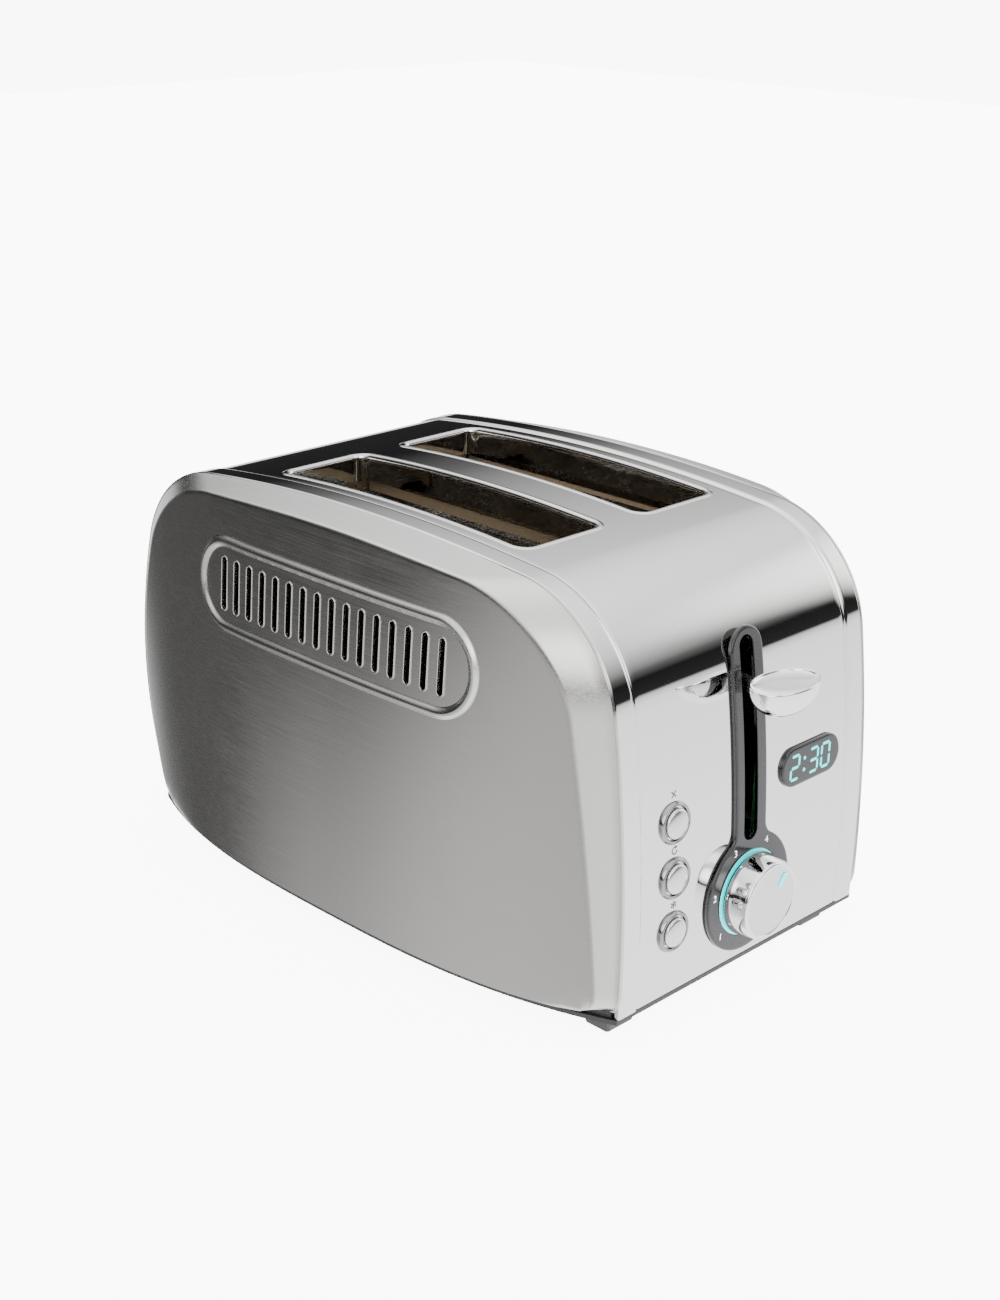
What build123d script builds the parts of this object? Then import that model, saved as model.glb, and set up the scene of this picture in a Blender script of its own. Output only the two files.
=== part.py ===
from build123d import *
import math
import os

os.makedirs("parts", exist_ok=True)

# ---- driving dimensions, millimetres ----------------------------------------
# The body is drawn about its own centre line; it stands mid_y behind the origin,
# so that the origin lies under the middle of the whole toaster.
body_half = 137.5          # front face, from the body's centre
body_top = 170.2           # highest point of the metal wrap
metal_bottom = 9.5         # lower edge of the metal
seam_x = 71.2              # where the wrap meets the side pans
side_bulge = 22.0          # how far a side pan stands out past its seam
side_power = 2.84          # fullness of its curve, seen from above
pan_sections = (           # height, step at the seam and bulge of a side pan
    (metal_bottom, 1.6, 20.4),
    (60.0, 3.0, 18.8),
    (120.0, 3.2, 16.0),
    (body_top, 3.0, 11.4),
)
rim_run = 24.0             # slanted rim of a side pan: this far out
rim_in = 34.0              # it draws in this much at the front and rear
rim_drop = 6.0             # and this much at the top
front_radius = 587.0       # slight bow of the front face, seen from the side
waist_z = 32.0             # height where that bow is fullest
rear_half = 144.2          # the rear is rounder: its reach, its bow and its fullest height
rear_radius = 200.0
rear_waist = 70.0
crown_radius = 830.0       # slight bow of the top
shoulder_radius = 50.0     # bend between front and top
lever_reach = 158.0        # lever knob's nose, from the body's centre
pull_reach = 142.0         # crumb tray pull, from the body's centre
mid_y = (lever_reach - rear_half) / 2

sheet = 1.0                # metal sheet
panel_half = 60.3          # half width of the sunk main panel of the wrap
panel_step = 0.7           # how far it is sunk
edge_gap = 0.35            # seam between wrap and side pan

slot_x = 31.5              # centre of a bread slot
slot_width = 41.0
slot_length = 134.0
slot_corner = 5.0

lever_z = 121.7            # lever knob at rest
lever_rise = 8.0           # extra lift for small slices
lever_drop = 52.0          # travel down to the latch
lever_slot_low = 58.7
lever_slot_high = 137.5
stem_half = 8.9            # bezel stem, half width
dial_z = 37.0
dial_radius = 24.2
ring_outer = 17.4
ring_inner = 15.1
knob_radius = 16.6
knob_front = 149.4
shaft_radius = 3.0
running_gap = 0.05

button_x = -42.5
button_low_z = 35.6
button_pitch = 21.7
button_radius = 5.75
button_ring_inner = 6.3
button_ring_outer = 8.1

display_x = 36.4
display_z = 79.5
display_width = 36.0
display_height = 15.5

gland_x = -45.0
gland_z = 32.0

chamber_half = 76.0        # bulkheads, from the body's centre
heater_x = 58.5
shield_x = 65.0
chamber_low = 28.0
chamber_high = 152.0
guide_inner_x = 13.0
guide_outer_x = 50.0
rod_x = 14.0
rod_y = -99.0
rod_radius = 2.5

tray_half = 50.0
tray_floor = 10.4
tray_top = 15.4
tray_mouth = 17.5


def level(z):
    """Horizontal plane at height z on the body's centre; x is right, y is back."""
    return Plane((0, mid_y, z))


def across(y):
    """Upright plane facing the front, y behind the body's centre."""
    return Plane(origin=(0, mid_y + y, 0), x_dir=(1, 0, 0), z_dir=(0, -1, 0))


def along(x):
    """Upright plane facing right at x; local x is back, local y is up."""
    return Plane(origin=(x, mid_y, 0), x_dir=(0, 1, 0), z_dir=(1, 0, 0))


def face_y(z):
    """Distance of the front face from the body's centre at height z."""
    return body_half - front_radius + math.sqrt(front_radius**2 - (z - waist_z) ** 2)


def on_front(x, z, lift):
    """Plane touching the front face at x, z and raised by lift; its normal points out."""
    lean = math.asin((z - waist_z) / front_radius)
    outward = Vector(0, -math.cos(lean), math.sin(lean))
    foot = Vector(x, mid_y - face_y(z), z) + outward * lift
    return Plane(origin=foot, x_dir=(1, 0, 0), z_dir=outward)


def on_rear(x, z, lift):
    """Plane touching the rear face at x, z and raised by lift; its normal points out."""
    lean = math.asin((z - rear_waist) / rear_radius)
    outward = Vector(0, math.cos(lean), math.sin(lean))
    foot = Vector(x, mid_y + rear_half - rear_radius * (1 - math.cos(lean)), z) + outward * lift
    return Plane(origin=foot, x_dir=(1, 0, 0), z_dir=outward)


def side_outline(half, top, shoulder, low):
    """The body seen from the side: bowed front, rounder rear, round shoulders and bowed top."""
    rear = half + rear_half - body_half

    def front_at(z):
        return front_radius - half - math.sqrt(front_radius**2 - (z - waist_z) ** 2)

    def rear_at(z):
        return rear - rear_radius + math.sqrt(rear_radius**2 - (z - rear_waist) ** 2)

    def top_at(y):
        return top - crown_radius + math.sqrt(crown_radius**2 - y**2)

    front_y = -half
    rear_y = rear
    for _ in range(12):
        front_y = front_at(top_at(front_y))
        rear_y = rear_at(top_at(rear_y))
    front_z = top_at(front_y)
    rear_z = top_at(rear_y)
    front_mid = (low + front_z) / 2
    rear_mid = (low + rear_z) / 2
    with BuildSketch(mode=Mode.PRIVATE) as outline:
        with BuildLine():
            ThreePointArc((front_at(low), low), (front_at(front_mid), front_mid), (front_y, front_z))
            ThreePointArc((front_y, front_z), (0, top), (rear_y, rear_z))
            ThreePointArc((rear_y, rear_z), (rear_at(rear_mid), rear_mid), (rear_at(low), low))
            Line((rear_at(low), low), (front_at(low), low))
        make_face()
        corners = [v for v in outline.vertices() if v.Y > low + 50]
        fillet(corners, radius=shoulder)
    return outline.sketch


def band(outer, inner, low):
    """Strip of the side outline between two depths under the surface, open below."""
    with BuildSketch(mode=Mode.PRIVATE) as strip:
        add(side_outline(body_half - outer, body_top - outer, shoulder_radius - outer, low))
        hollow = side_outline(body_half - inner, body_top - inner, shoulder_radius - inner, low)
        add(hollow, mode=Mode.SUBTRACT)
    return strip.sketch


def plan_outline(inset):
    """The base seen from above: straight front and rear, full round sides."""
    front = body_half - inset
    rear = rear_half - 9.4 - inset
    steps = 12
    right = []
    for step in range(steps + 1):
        y = -front + (front + rear) * step / steps
        right.append((seam_x + (side_bulge - inset) * (1 - abs(y / front) ** side_power), y))
    left = [(-x, y) for x, y in reversed(right)]
    with BuildSketch(mode=Mode.PRIVATE) as plan:
        with BuildLine():
            Spline(*right)
            Line(right[-1], left[0])
            Spline(*left)
            Line(left[-1], right[0])
        make_face()
    return plan.sketch


def pan_plan(skin, start, bulge):
    """Plan of the right-hand side pan: a full curve that starts just outside the seam."""
    half = body_half + 1.0
    rear = rear_half + 2.0
    steps = 12
    curve = []
    for step in range(steps + 1):
        y = -half + (half + rear) * step / steps
        curve.append((seam_x + start - skin + bulge * (1 - abs(y / half) ** side_power), y))
    with BuildSketch(mode=Mode.PRIVATE) as plan:
        with BuildLine():
            Spline(*curve)
            Polyline(curve[-1], (seam_x - 10, rear), (seam_x - 10, -half), curve[0])
        make_face()
    return plan.sketch


def pan_block(skin):
    """Solid under a right-hand side pan, skin deep under its surface."""
    with BuildPart(mode=Mode.PRIVATE) as crown:
        for height, start, bulge in pan_sections:
            with BuildSketch(level(height)):
                add(pan_plan(skin, start, bulge))
        loft()
    with BuildPart(mode=Mode.PRIVATE) as block:
        with BuildSketch(along(seam_x)):
            add(side_outline(body_half - skin, body_top - skin, shoulder_radius - skin, metal_bottom))
        with BuildSketch(along(seam_x + rim_run)):
            half = body_half - rim_in - skin
            add(side_outline(half, body_top - rim_drop - skin, shoulder_radius - skin, metal_bottom))
        loft(ruled=True)
        add(crown.part, mode=Mode.INTERSECT)
    return block.part


def finish(piece, name):
    """Label a piece and write it."""
    piece.part.label = name
    export_step(piece.part, "parts/" + name + ".step")


# ---- body -------------------------------------------------------------------
collar_depth = 12.0
with BuildPart(mode=Mode.PRIVATE) as slot_collars:
    with BuildSketch(level(body_top - collar_depth)):
        with Locations((-slot_x, 0), (slot_x, 0)):
            RectangleRounded(slot_width + 2 * sheet, slot_length + 2 * sheet, slot_corner + sheet)
    extrude(amount=2 * collar_depth)
    with BuildSketch(along(-seam_x)):
        add(side_outline(body_half - panel_step, body_top - panel_step, shoulder_radius, metal_bottom))
    extrude(amount=2 * seam_x, mode=Mode.INTERSECT)

with BuildPart() as wrap_shell:
    with BuildSketch(along(-seam_x + edge_gap)):
        add(band(0, panel_step + sheet, metal_bottom))
    extrude(amount=2 * (seam_x - edge_gap))
    with BuildSketch(along(-panel_half)):
        add(band(-1, panel_step, 0))
    extrude(amount=2 * panel_half, mode=Mode.SUBTRACT)
    add(slot_collars.part)
    with BuildSketch(level(body_top - 2 * collar_depth)):
        with Locations((-slot_x, 0), (slot_x, 0)):
            RectangleRounded(slot_width, slot_length, slot_corner)
    extrude(amount=3 * collar_depth, mode=Mode.SUBTRACT)
    with BuildSketch(across(-100)):
        with Locations((0, (lever_slot_low + lever_slot_high) / 2)):
            RectangleRounded(12, lever_slot_high - lever_slot_low + 4, 5)
        with Locations((0, dial_z)):
            Circle(7)
        for row in range(3):
            with Locations((button_x, button_low_z + row * button_pitch)):
                Circle(button_ring_outer - 0.8)
        with Locations((display_x, display_z)):
            SlotOverall(display_width - 2, display_height - 2)
    extrude(amount=60, mode=Mode.SUBTRACT)
    with BuildSketch(across(rear_half + 5)):
        with Locations((0, metal_bottom)):
            Rectangle(2 * (tray_half + 2), 2 * (tray_mouth - metal_bottom))
        with Locations((gland_x, gland_z)):
            Circle(5.6)
    extrude(amount=30, mode=Mode.SUBTRACT)
finish(wrap_shell, "wrap_shell")

bead_z = 129.9
bead_length = 160.0
bead_height = 39.7
bead_width = 4.0
bead_proud = 1.2
vent_count = 16
vent_pitch = 8.3
vent_height = 21.5
vent_width = 3.0
with BuildPart(mode=Mode.PRIVATE) as racetrack:
    add(pan_block(-bead_proud))
    add(pan_block(sheet / 2), mode=Mode.SUBTRACT)
    with BuildSketch(along(seam_x)):
        with Locations((0, bead_z)):
            SlotOverall(bead_length, bead_height)
            SlotOverall(bead_length - 2 * bead_width, bead_height - 2 * bead_width, mode=Mode.SUBTRACT)
    extrude(amount=60, mode=Mode.INTERSECT)

for side_name, sign in (("left", -1), ("right", 1)):
    with BuildPart() as side_panel:
        add(pan_block(0))
        add(pan_block(sheet).moved(Location((-0.01, 0, 0))), mode=Mode.SUBTRACT)
        with BuildSketch(along(seam_x + edge_gap)):
            Rectangle(4 * body_half, 4 * body_top)
        extrude(amount=60, mode=Mode.INTERSECT)
        with BuildSketch(along(seam_x)):
            with GridLocations(vent_pitch, 1, vent_count, 1):
                with Locations((0, bead_z)):
                    SlotOverall(vent_height, vent_width, rotation=90)
        extrude(amount=60, mode=Mode.SUBTRACT)
        add(racetrack.part)
        if sign < 0:
            mirror(about=Plane.YZ, mode=Mode.REPLACE)
    finish(side_panel, side_name + "_side_panel")

base_low = 7.4
base_floor = 9.3
rim_top = 15.0
screw_spots = ((-80, -40), (80, -40), (-80, 40), (80, 40), (0, -118))
with BuildPart() as base:
    with BuildSketch(level(base_low)):
        add(plan_outline(1.0))
    extrude(amount=base_floor - base_low)
    with BuildSketch(level(base_floor)):
        add(plan_outline(4.0))
        add(plan_outline(6.5), mode=Mode.SUBTRACT)
        with Locations((0, body_half)):
            Rectangle(2 * (tray_half + 3), 30, mode=Mode.SUBTRACT)
    extrude(amount=rim_top - base_floor)
    with BuildSketch(level(base_floor)):
        with Locations((-rod_x, rod_y), (rod_x, rod_y)):
            Circle(5)
        with Locations(*screw_spots):
            Circle(4)
    extrude(amount=8)
    with BuildSketch(level(base_floor + 2)):
        with Locations((-rod_x, rod_y), (rod_x, rod_y)):
            Circle(rod_radius)
    extrude(amount=10, mode=Mode.SUBTRACT)
    with BuildSketch(level(base_low)):
        with Locations(*screw_spots):
            Circle(1.6)
    extrude(amount=6, mode=Mode.SUBTRACT)
finish(base, "base")

foot_spots = {
    "front_left_foot": (-61, -124),
    "front_right_foot": (55, -124),
    "rear_left_foot": (-61, 122),
    "rear_right_foot": (55, 122),
}
for foot_name, spot in foot_spots.items():
    with BuildPart() as foot:
        with BuildSketch(level(base_low)):
            with Locations(spot):
                RectangleRounded(18, 15, 3)
        extrude(amount=-base_low, taper=14)
    finish(foot, foot_name)

# ---- crumb tray -------------------------------------------------------------
with BuildPart() as crumb_tray:
    with BuildSketch(level(tray_floor)):
        with Locations((0, 31)):
            Rectangle(2 * tray_half, 206)
    extrude(amount=tray_top - tray_floor)
    with BuildSketch(level(tray_floor + sheet)):
        with Locations((0, 31)):
            Rectangle(2 * tray_half - 2 * sheet, 206 - 2 * sheet)
    extrude(amount=tray_top, mode=Mode.SUBTRACT)
finish(crumb_tray, "crumb_tray")

with BuildPart() as tray_pull:
    with BuildSketch(along(-tray_half + 1)):
        with BuildLine():
            Polyline((134, 9.8), (pull_reach, 9.8), (pull_reach, 13), (139.5, 16.8), (134, 16.8), close=True)
        make_face()
    extrude(amount=2 * tray_half - 2)
    with BuildSketch(across(134)):
        with Locations((0, 11)):
            Rectangle(46, 5)
    extrude(amount=-4.4, mode=Mode.SUBTRACT)
    fillet(tray_pull.edges().group_by(Axis.Y)[-1], radius=0.8)
finish(tray_pull, "tray_pull")

# ---- front trim -------------------------------------------------------------
bezel_inner = body_half - 0.35
bezel_proud = 1.0
with BuildPart() as control_bezel:
    with BuildSketch(along(-dial_radius - 2)):
        add(band(-bezel_proud, panel_step, metal_bottom))
    extrude(amount=2 * dial_radius + 4)
    with BuildSketch(across(-60)) as lollipop:
        with Locations((0, dial_z)):
            Circle(dial_radius)
        with Locations((0, (dial_z + 141) / 2)):
            SlotOverall(141 - dial_z, 2 * stem_half, rotation=90)
        fillet(lollipop.vertices().group_by(Axis.Y)[1:3], radius=7)
    extrude(amount=120, mode=Mode.INTERSECT)
    with BuildSketch(across(-60)):
        with Locations((0, (lever_slot_low + lever_slot_high) / 2)):
            SlotOverall(lever_slot_high - lever_slot_low, 7.6, rotation=90)
        with Locations((0, dial_z)):
            Circle(shaft_radius + 0.5)
    extrude(amount=120, mode=Mode.SUBTRACT)
    with BuildSketch(across(-body_half + 0.3)):
        with Locations((0, dial_z)):
            Circle(ring_outer + 0.1)
            Circle(ring_inner - 0.1, mode=Mode.SUBTRACT)
    extrude(amount=5, mode=Mode.SUBTRACT)
finish(control_bezel, "control_bezel")

with BuildPart() as dial_light_ring:
    with BuildSketch(across(-body_half + 0.3)):
        with Locations((0, dial_z)):
            Circle(ring_outer)
            Circle(ring_inner, mode=Mode.SUBTRACT)
    extrude(amount=1.5)
finish(dial_light_ring, "dial_light_ring")

knob_back = 139.2
pointer_turn = 40
pointer_spot = (9 * math.sin(math.radians(pointer_turn)), dial_z + 9 * math.cos(math.radians(pointer_turn)))
with BuildPart() as browning_knob:
    with BuildSketch(across(-knob_back)):
        with Locations((0, dial_z)):
            Circle(knob_radius)
    extrude(amount=knob_front - knob_back, taper=2)
    fillet(browning_knob.edges().group_by(Axis.Y)[0], radius=1.2)
    with BuildSketch(across(-knob_back)):
        with Locations((0, dial_z)):
            Circle(knob_radius - 2)
            Circle(6, mode=Mode.SUBTRACT)
    extrude(amount=7, mode=Mode.SUBTRACT)
    with BuildSketch(across(-knob_back)):
        with Locations((0, dial_z)):
            Circle(shaft_radius)
    extrude(amount=7.5, mode=Mode.SUBTRACT)
    with BuildSketch(across(-knob_front + 0.6)):
        with Locations(pointer_spot):
            SlotOverall(7.4, 2.2, rotation=90 - pointer_turn)
    extrude(amount=2, mode=Mode.SUBTRACT)
finish(browning_knob, "browning_knob")

with BuildPart() as knob_pointer:
    with BuildSketch(across(-knob_front + 0.6)):
        with Locations(pointer_spot):
            SlotOverall(7.2, 2.0, rotation=90 - pointer_turn)
    extrude(amount=0.7)
finish(knob_pointer, "knob_pointer")

with BuildPart() as knob_shaft:
    with BuildSketch(across(-118)):
        with Locations((0, dial_z)):
            Circle(shaft_radius)
    extrude(amount=knob_back + 7.4 - 118)
finish(knob_shaft, "knob_shaft")

with BuildPart() as browning_control:
    with BuildSketch(across(-121)):
        with Locations((0, dial_z)):
            RectangleRounded(17, 17, 2)
    extrude(amount=7)
    with BuildSketch(across(-128)):
        with Locations((0, dial_z)):
            Circle(5)
    extrude(amount=6)
    with BuildSketch(across(-115)):
        with Locations((0, dial_z)):
            Circle(shaft_radius + running_gap)
    extrude(amount=25, mode=Mode.SUBTRACT)
finish(browning_control, "browning_control")

button_names = ("defrost", "reheat", "cancel")
switch_tip = 132.0
for row, button_name in enumerate(button_names):
    z = button_low_z + row * button_pitch
    with BuildPart() as button_ring:
        with BuildSketch(on_front(button_x, z, -2.6)):
            Circle(button_ring_outer - 1.2)
        extrude(amount=2.1)
        with BuildSketch(on_front(button_x, z, -panel_step + 0.05)):
            Circle(button_ring_outer)
        extrude(amount=2.2, taper=20)
        with BuildSketch(on_front(button_x, z, -5)):
            Circle(button_ring_inner)
        extrude(amount=10, mode=Mode.SUBTRACT)
    finish(button_ring, button_name + "_ring")
    with BuildPart() as button_cap:
        with BuildSketch(on_front(button_x, z, -0.4)):
            Circle(button_radius)
        extrude(amount=3.4)
        fillet(button_cap.edges().group_by(Axis.Y)[0], radius=1.4)
        with BuildSketch(on_front(button_x, z, -0.4)):
            Circle(2.2)
        extrude(amount=-(face_y(z) - switch_tip - 2.9))
    finish(button_cap, button_name + "_button")

with BuildPart() as button_board:
    with BuildSketch(across(-124.6)):
        with Locations((button_x, button_low_z + button_pitch)):
            RectangleRounded(30, 66, 2)
    extrude(amount=1.6)
finish(button_board, "button_board")

with BuildPart() as tact_switches:
    for row in range(3):
        z = button_low_z + row * button_pitch
        with BuildSketch(across(-126.2)):
            with Locations((button_x, z)):
                Rectangle(6, 6)
        extrude(amount=4.2)
        with BuildSketch(across(-130.4)):
            with Locations((button_x, z)):
                Circle(1.7)
        extrude(amount=switch_tip - 130.4)
finish(tact_switches, "tact_switches")

with BuildPart() as display_window:
    with BuildSketch(on_front(display_x, display_z, -panel_step + 0.1)):
        SlotOverall(display_width, display_height)
    extrude(amount=1.4)
    fillet(display_window.edges().group_by(Axis.Y)[0], radius=0.5)
    with BuildSketch(on_front(display_x, display_z, -3.4)):
        SlotOverall(display_width - 3, display_height - 3)
    extrude(amount=3)
finish(display_window, "display_window")

digit_width = 4.6
digit_height = 9.0
digit_stroke = 1.1
digit_slant = 6
segments = {
    "a": (0, 1, 0), "b": (0.5, 0.5, 90), "c": (0.5, -0.5, 90), "d": (0, -1, 0),
    "e": (-0.5, -0.5, 90), "f": (-0.5, 0.5, 90), "g": (0, 0, 0),
}
readout = ((-10.2, "abged"), (1.4, "abgcd"), (8.6, "abcdef"))
with BuildPart() as display_digits:
    with BuildSketch(on_front(display_x, display_z, 0.82)):
        for place, lit in readout:
            for name in lit:
                step_x, step_z, turn = segments[name]
                rise = step_z * digit_height / 2
                shift = place + step_x * digit_width + rise * math.tan(math.radians(digit_slant))
                length = digit_height / 2 - 0.5 if turn else digit_width - 0.6
                with Locations((shift, rise)):
                    SlotOverall(length, digit_stroke, rotation=turn - (digit_slant if turn else 0))
        for rise in (-2.2, 2.2):
            with Locations((-4.4 + rise * 0.1, rise)):
                Circle(0.75)
    extrude(amount=0.2)
finish(display_digits, "display_digits")

with BuildPart() as display_module:
    with BuildSketch(across(-126)):
        with Locations((display_x, display_z)):
            Rectangle(32, 14)
    extrude(amount=5)
finish(display_module, "display_module")

with BuildPart() as display_board:
    with BuildSketch(across(-124)):
        with Locations((display_x, 66)):
            RectangleRounded(38, 60, 2)
    extrude(amount=1.6)
finish(display_board, "display_board")

# ---- lever and carriage -----------------------------------------------------
lever_y = 147.9
lever_depth = 12.0
arm_half = 1.5
with BuildPart() as lever_knob:
    for step in range(6):
        part_down = 0.97 * (5 - step) / 5
        shrink = math.sqrt(1 - part_down**2)
        with BuildSketch(Plane((0, mid_y - lever_y, lever_z + 2.9 - lever_depth * part_down))):
            Ellipse(16.2 * shrink, (lever_reach - lever_y) * shrink)
    loft()
    with BuildSketch(Plane((0, mid_y - lever_y, lever_z + 2.9))):
        Ellipse(15.2, lever_reach - lever_y - 1.0)
    extrude(amount=-1.0, mode=Mode.SUBTRACT)
    with BuildSketch(across(-lever_y + 20)):
        with Locations((0, lever_z - 2.2)):
            Rectangle(2 * arm_half + 0.02, 5.62)
    extrude(amount=14.02, mode=Mode.SUBTRACT)
finish(lever_knob, "lever_knob")

with BuildPart() as lever_arm:
    with BuildSketch(along(-arm_half)):
        with BuildLine():
            Polyline(
                (-92.6, 90), (-92.6, lever_z + 0.6), (-140.3, lever_z + 0.6), (-140.3, lever_z - 5),
                (-112, lever_z - 5), (-104, 108), (-102, 90), close=True,
            )
        make_face()
    extrude(amount=2 * arm_half)
finish(lever_arm, "lever_arm")

carriage_y = -92.4
carriage_low = 84.0
carriage_high = 112.0
with BuildPart() as carriage:
    with BuildSketch(across(carriage_y)):
        with Locations((0, (carriage_low + 104) / 2)):
            RectangleRounded(84, 104 - carriage_low, 3)
        with Locations((0, (carriage_low + carriage_high) / 2)):
            RectangleRounded(40, carriage_high - carriage_low, 3)
    extrude(amount=-1.6)
    with BuildSketch(level(86)):
        with Locations((-rod_x, rod_y), (rod_x, rod_y)):
            Circle(5)
        with Locations((-rod_x, rod_y + 4), (rod_x, rod_y + 4)):
            Rectangle(6, 5.4)
    extrude(amount=24)
    with BuildSketch(level(80)):
        with Locations((-rod_x, rod_y), (rod_x, rod_y)):
            Circle(rod_radius + running_gap)
    extrude(amount=40, mode=Mode.SUBTRACT)
    with BuildSketch(level(102)):
        with Locations((28, -96.5)):
            Rectangle(8, 8.4)
    extrude(amount=1.4)
finish(carriage, "carriage")

with BuildPart() as latch_plate:
    with BuildSketch(level(carriage_low + 0.6)):
        with Locations((-30, -100)):
            RectangleRounded(18, 14, 2)
    extrude(amount=1.6)
    with BuildSketch(level(carriage_low + 2.2)):
        with Locations((-23.6, -93.1)):
            Rectangle(5, 1.4)
    extrude(amount=12)
finish(latch_plate, "latch_plate")

lift_z = 90.0
for side_name, sign in (("left", -1), ("right", 1)):
    with BuildPart() as bread_lift:
        with BuildSketch(level(lift_z)):
            with Locations((sign * slot_x, -10)):
                Rectangle(9, 160)
            with Locations((sign * slot_x, 0)):
                with GridLocations(1, 15, 1, 9):
                    SlotOverall(9, 3.5, rotation=90, mode=Mode.SUBTRACT)
        extrude(amount=1.2)
        with BuildSketch(along(sign * slot_x - 0.6)):
            with BuildLine():
                Line((-90, lift_z), (70, lift_z))
                Polyline((70, lift_z), (70, lift_z - 3), (-60, lift_z - 7), (-90, lift_z - 7), (-90, lift_z))
            make_face()
        extrude(amount=1.2)
        with BuildSketch(across(-89.2)):
            with Locations((sign * slot_x, lift_z + 1.5)):
                Rectangle(9, 12)
        extrude(amount=1.6)
    finish(bread_lift, side_name + "_bread_lift")

with BuildPart() as carriage_rivets:
    with BuildSketch(across(carriage_y)):
        with Locations((-slot_x, 94.5), (slot_x, 94.5), (-slot_x, 89.5), (slot_x, 89.5)):
            Circle(1.6)
    extrude(amount=1.0)
finish(carriage_rivets, "carriage_rivets")

bridge_z = 150.0
with BuildPart() as guide_rods:
    with BuildSketch(level(base_floor + 2)):
        with Locations((-rod_x, rod_y), (rod_x, rod_y)):
            Circle(rod_radius)
    extrude(amount=bridge_z + 1 - base_floor - 2)
finish(guide_rods, "guide_rods")

with BuildPart() as rod_bridge:
    with BuildSketch(level(bridge_z)):
        with Locations((6, (rod_y - 7 - chamber_half - 0.5) / 2)):
            Rectangle(60, 7 - rod_y - chamber_half - 0.5)
        with Locations((-rod_x, rod_y), (rod_x, rod_y)):
            Circle(rod_radius, mode=Mode.SUBTRACT)
    extrude(amount=1.6)
finish(rod_bridge, "rod_bridge")

spring_low = 104.0
spring_high = 149.6
coil_count = 15
with BuildPart() as carriage_spring:
    for turn in range(coil_count):
        coil_z = spring_low + 2 + (spring_high - spring_low - 4) * turn / (coil_count - 1)
        with Locations((28, mid_y - 97, coil_z)):
            Torus(3.2, 0.5)
    with Locations((31.2, mid_y - 97, (spring_low + spring_high) / 2)):
        Cylinder(0.35, spring_high - spring_low)
finish(carriage_spring, "carriage_spring")

with BuildPart() as magnet_core:
    with BuildSketch(level(base_floor)):
        with Locations((-37, -100), (-23, -100)):
            Rectangle(4, 10)
    extrude(amount=22.4)
    with BuildSketch(level(base_floor)):
        with Locations((-30, -100)):
            Rectangle(18, 10)
    extrude(amount=5)
    with BuildSketch(level(base_floor)):
        with Locations((-30, -100)):
            Rectangle(5, 10)
    extrude(amount=22.4)
finish(magnet_core, "magnet_core")

with BuildPart() as magnet_coil:
    with BuildSketch(level(base_floor + 5.2)):
        with Locations((-30, -100)):
            Rectangle(9.4, 14)
            Rectangle(5, 10, mode=Mode.SUBTRACT)
    extrude(amount=15)
finish(magnet_coil, "magnet_coil")

# ---- toasting chamber -------------------------------------------------------
ear_z = 143.0
bulkhead_top = 159.0
for end_name, sign in (("front", -1), ("rear", 1)):
    with BuildPart() as bulkhead:
        with BuildSketch(across(sign * chamber_half + 0.5)):
            with Locations((0, (tray_mouth + bulkhead_top) / 2)):
                Rectangle(130, bulkhead_top - tray_mouth)
            with Locations((-60, 22), (60, 22)):
                Rectangle(9, 2 * (22 - base_floor))
            if sign < 0:
                with Locations((-slot_x, 66), (slot_x, 66)):
                    SlotOverall(90, 14, rotation=90, mode=Mode.SUBTRACT)
            for guide_x in (guide_inner_x + 3, guide_outer_x - 3):
                with Locations((-guide_x, ear_z), (guide_x, ear_z)):
                    SlotOverall(15, 7.2, mode=Mode.SUBTRACT)
        extrude(amount=1.0)
    finish(bulkhead, end_name + "_bulkhead")

with BuildPart() as bulkhead_rivets:
    for sign in (-1, 1):
        with BuildSketch(across(sign * (chamber_half + 1.1) + 0.6)):
            for z in (40, 90, 150):
                with Locations((-62.5, z), (62.5, z)):
                    Circle(1.4)
        extrude(amount=1.2)
finish(bulkhead_rivets, "bulkhead_rivets")

board_half = chamber_half - 1.2
wire_pitch = 9.0
wire_rows = 12
for board_name, board_x in (("left", -heater_x), ("center", 0), ("right", heater_x)):
    with BuildPart() as heater_board:
        with BuildSketch(along(board_x - 0.4)):
            with Locations((0, (chamber_low + chamber_high) / 2)):
                Rectangle(2 * board_half, chamber_high - chamber_low)
        extrude(amount=0.8)
    finish(heater_board, board_name + "_heater_board")
    faces = [x for x in (board_x - 0.65, board_x + 0.45) if board_x == 0 or abs(x) < heater_x]
    with BuildPart() as heating_wires:
        for wire_x in faces:
            with BuildSketch(along(wire_x)):
                with Locations((0, (chamber_low + chamber_high) / 2)):
                    with GridLocations(1, wire_pitch, 1, wire_rows):
                        Rectangle(126, 1.4)
            extrude(amount=0.2)
    finish(heating_wires, board_name + "_heating_wires")

for side_name, sign in (("left", -1), ("right", 1)):
    with BuildPart() as heat_shield:
        with BuildSketch(along(sign * shield_x - 0.3)):
            with Locations((0, (tray_mouth + bulkhead_top) / 2)):
                Rectangle(2 * chamber_half - 1.2, bulkhead_top - tray_mouth)
        extrude(amount=0.6)
    finish(heat_shield, side_name + "_heat_shield")

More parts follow.
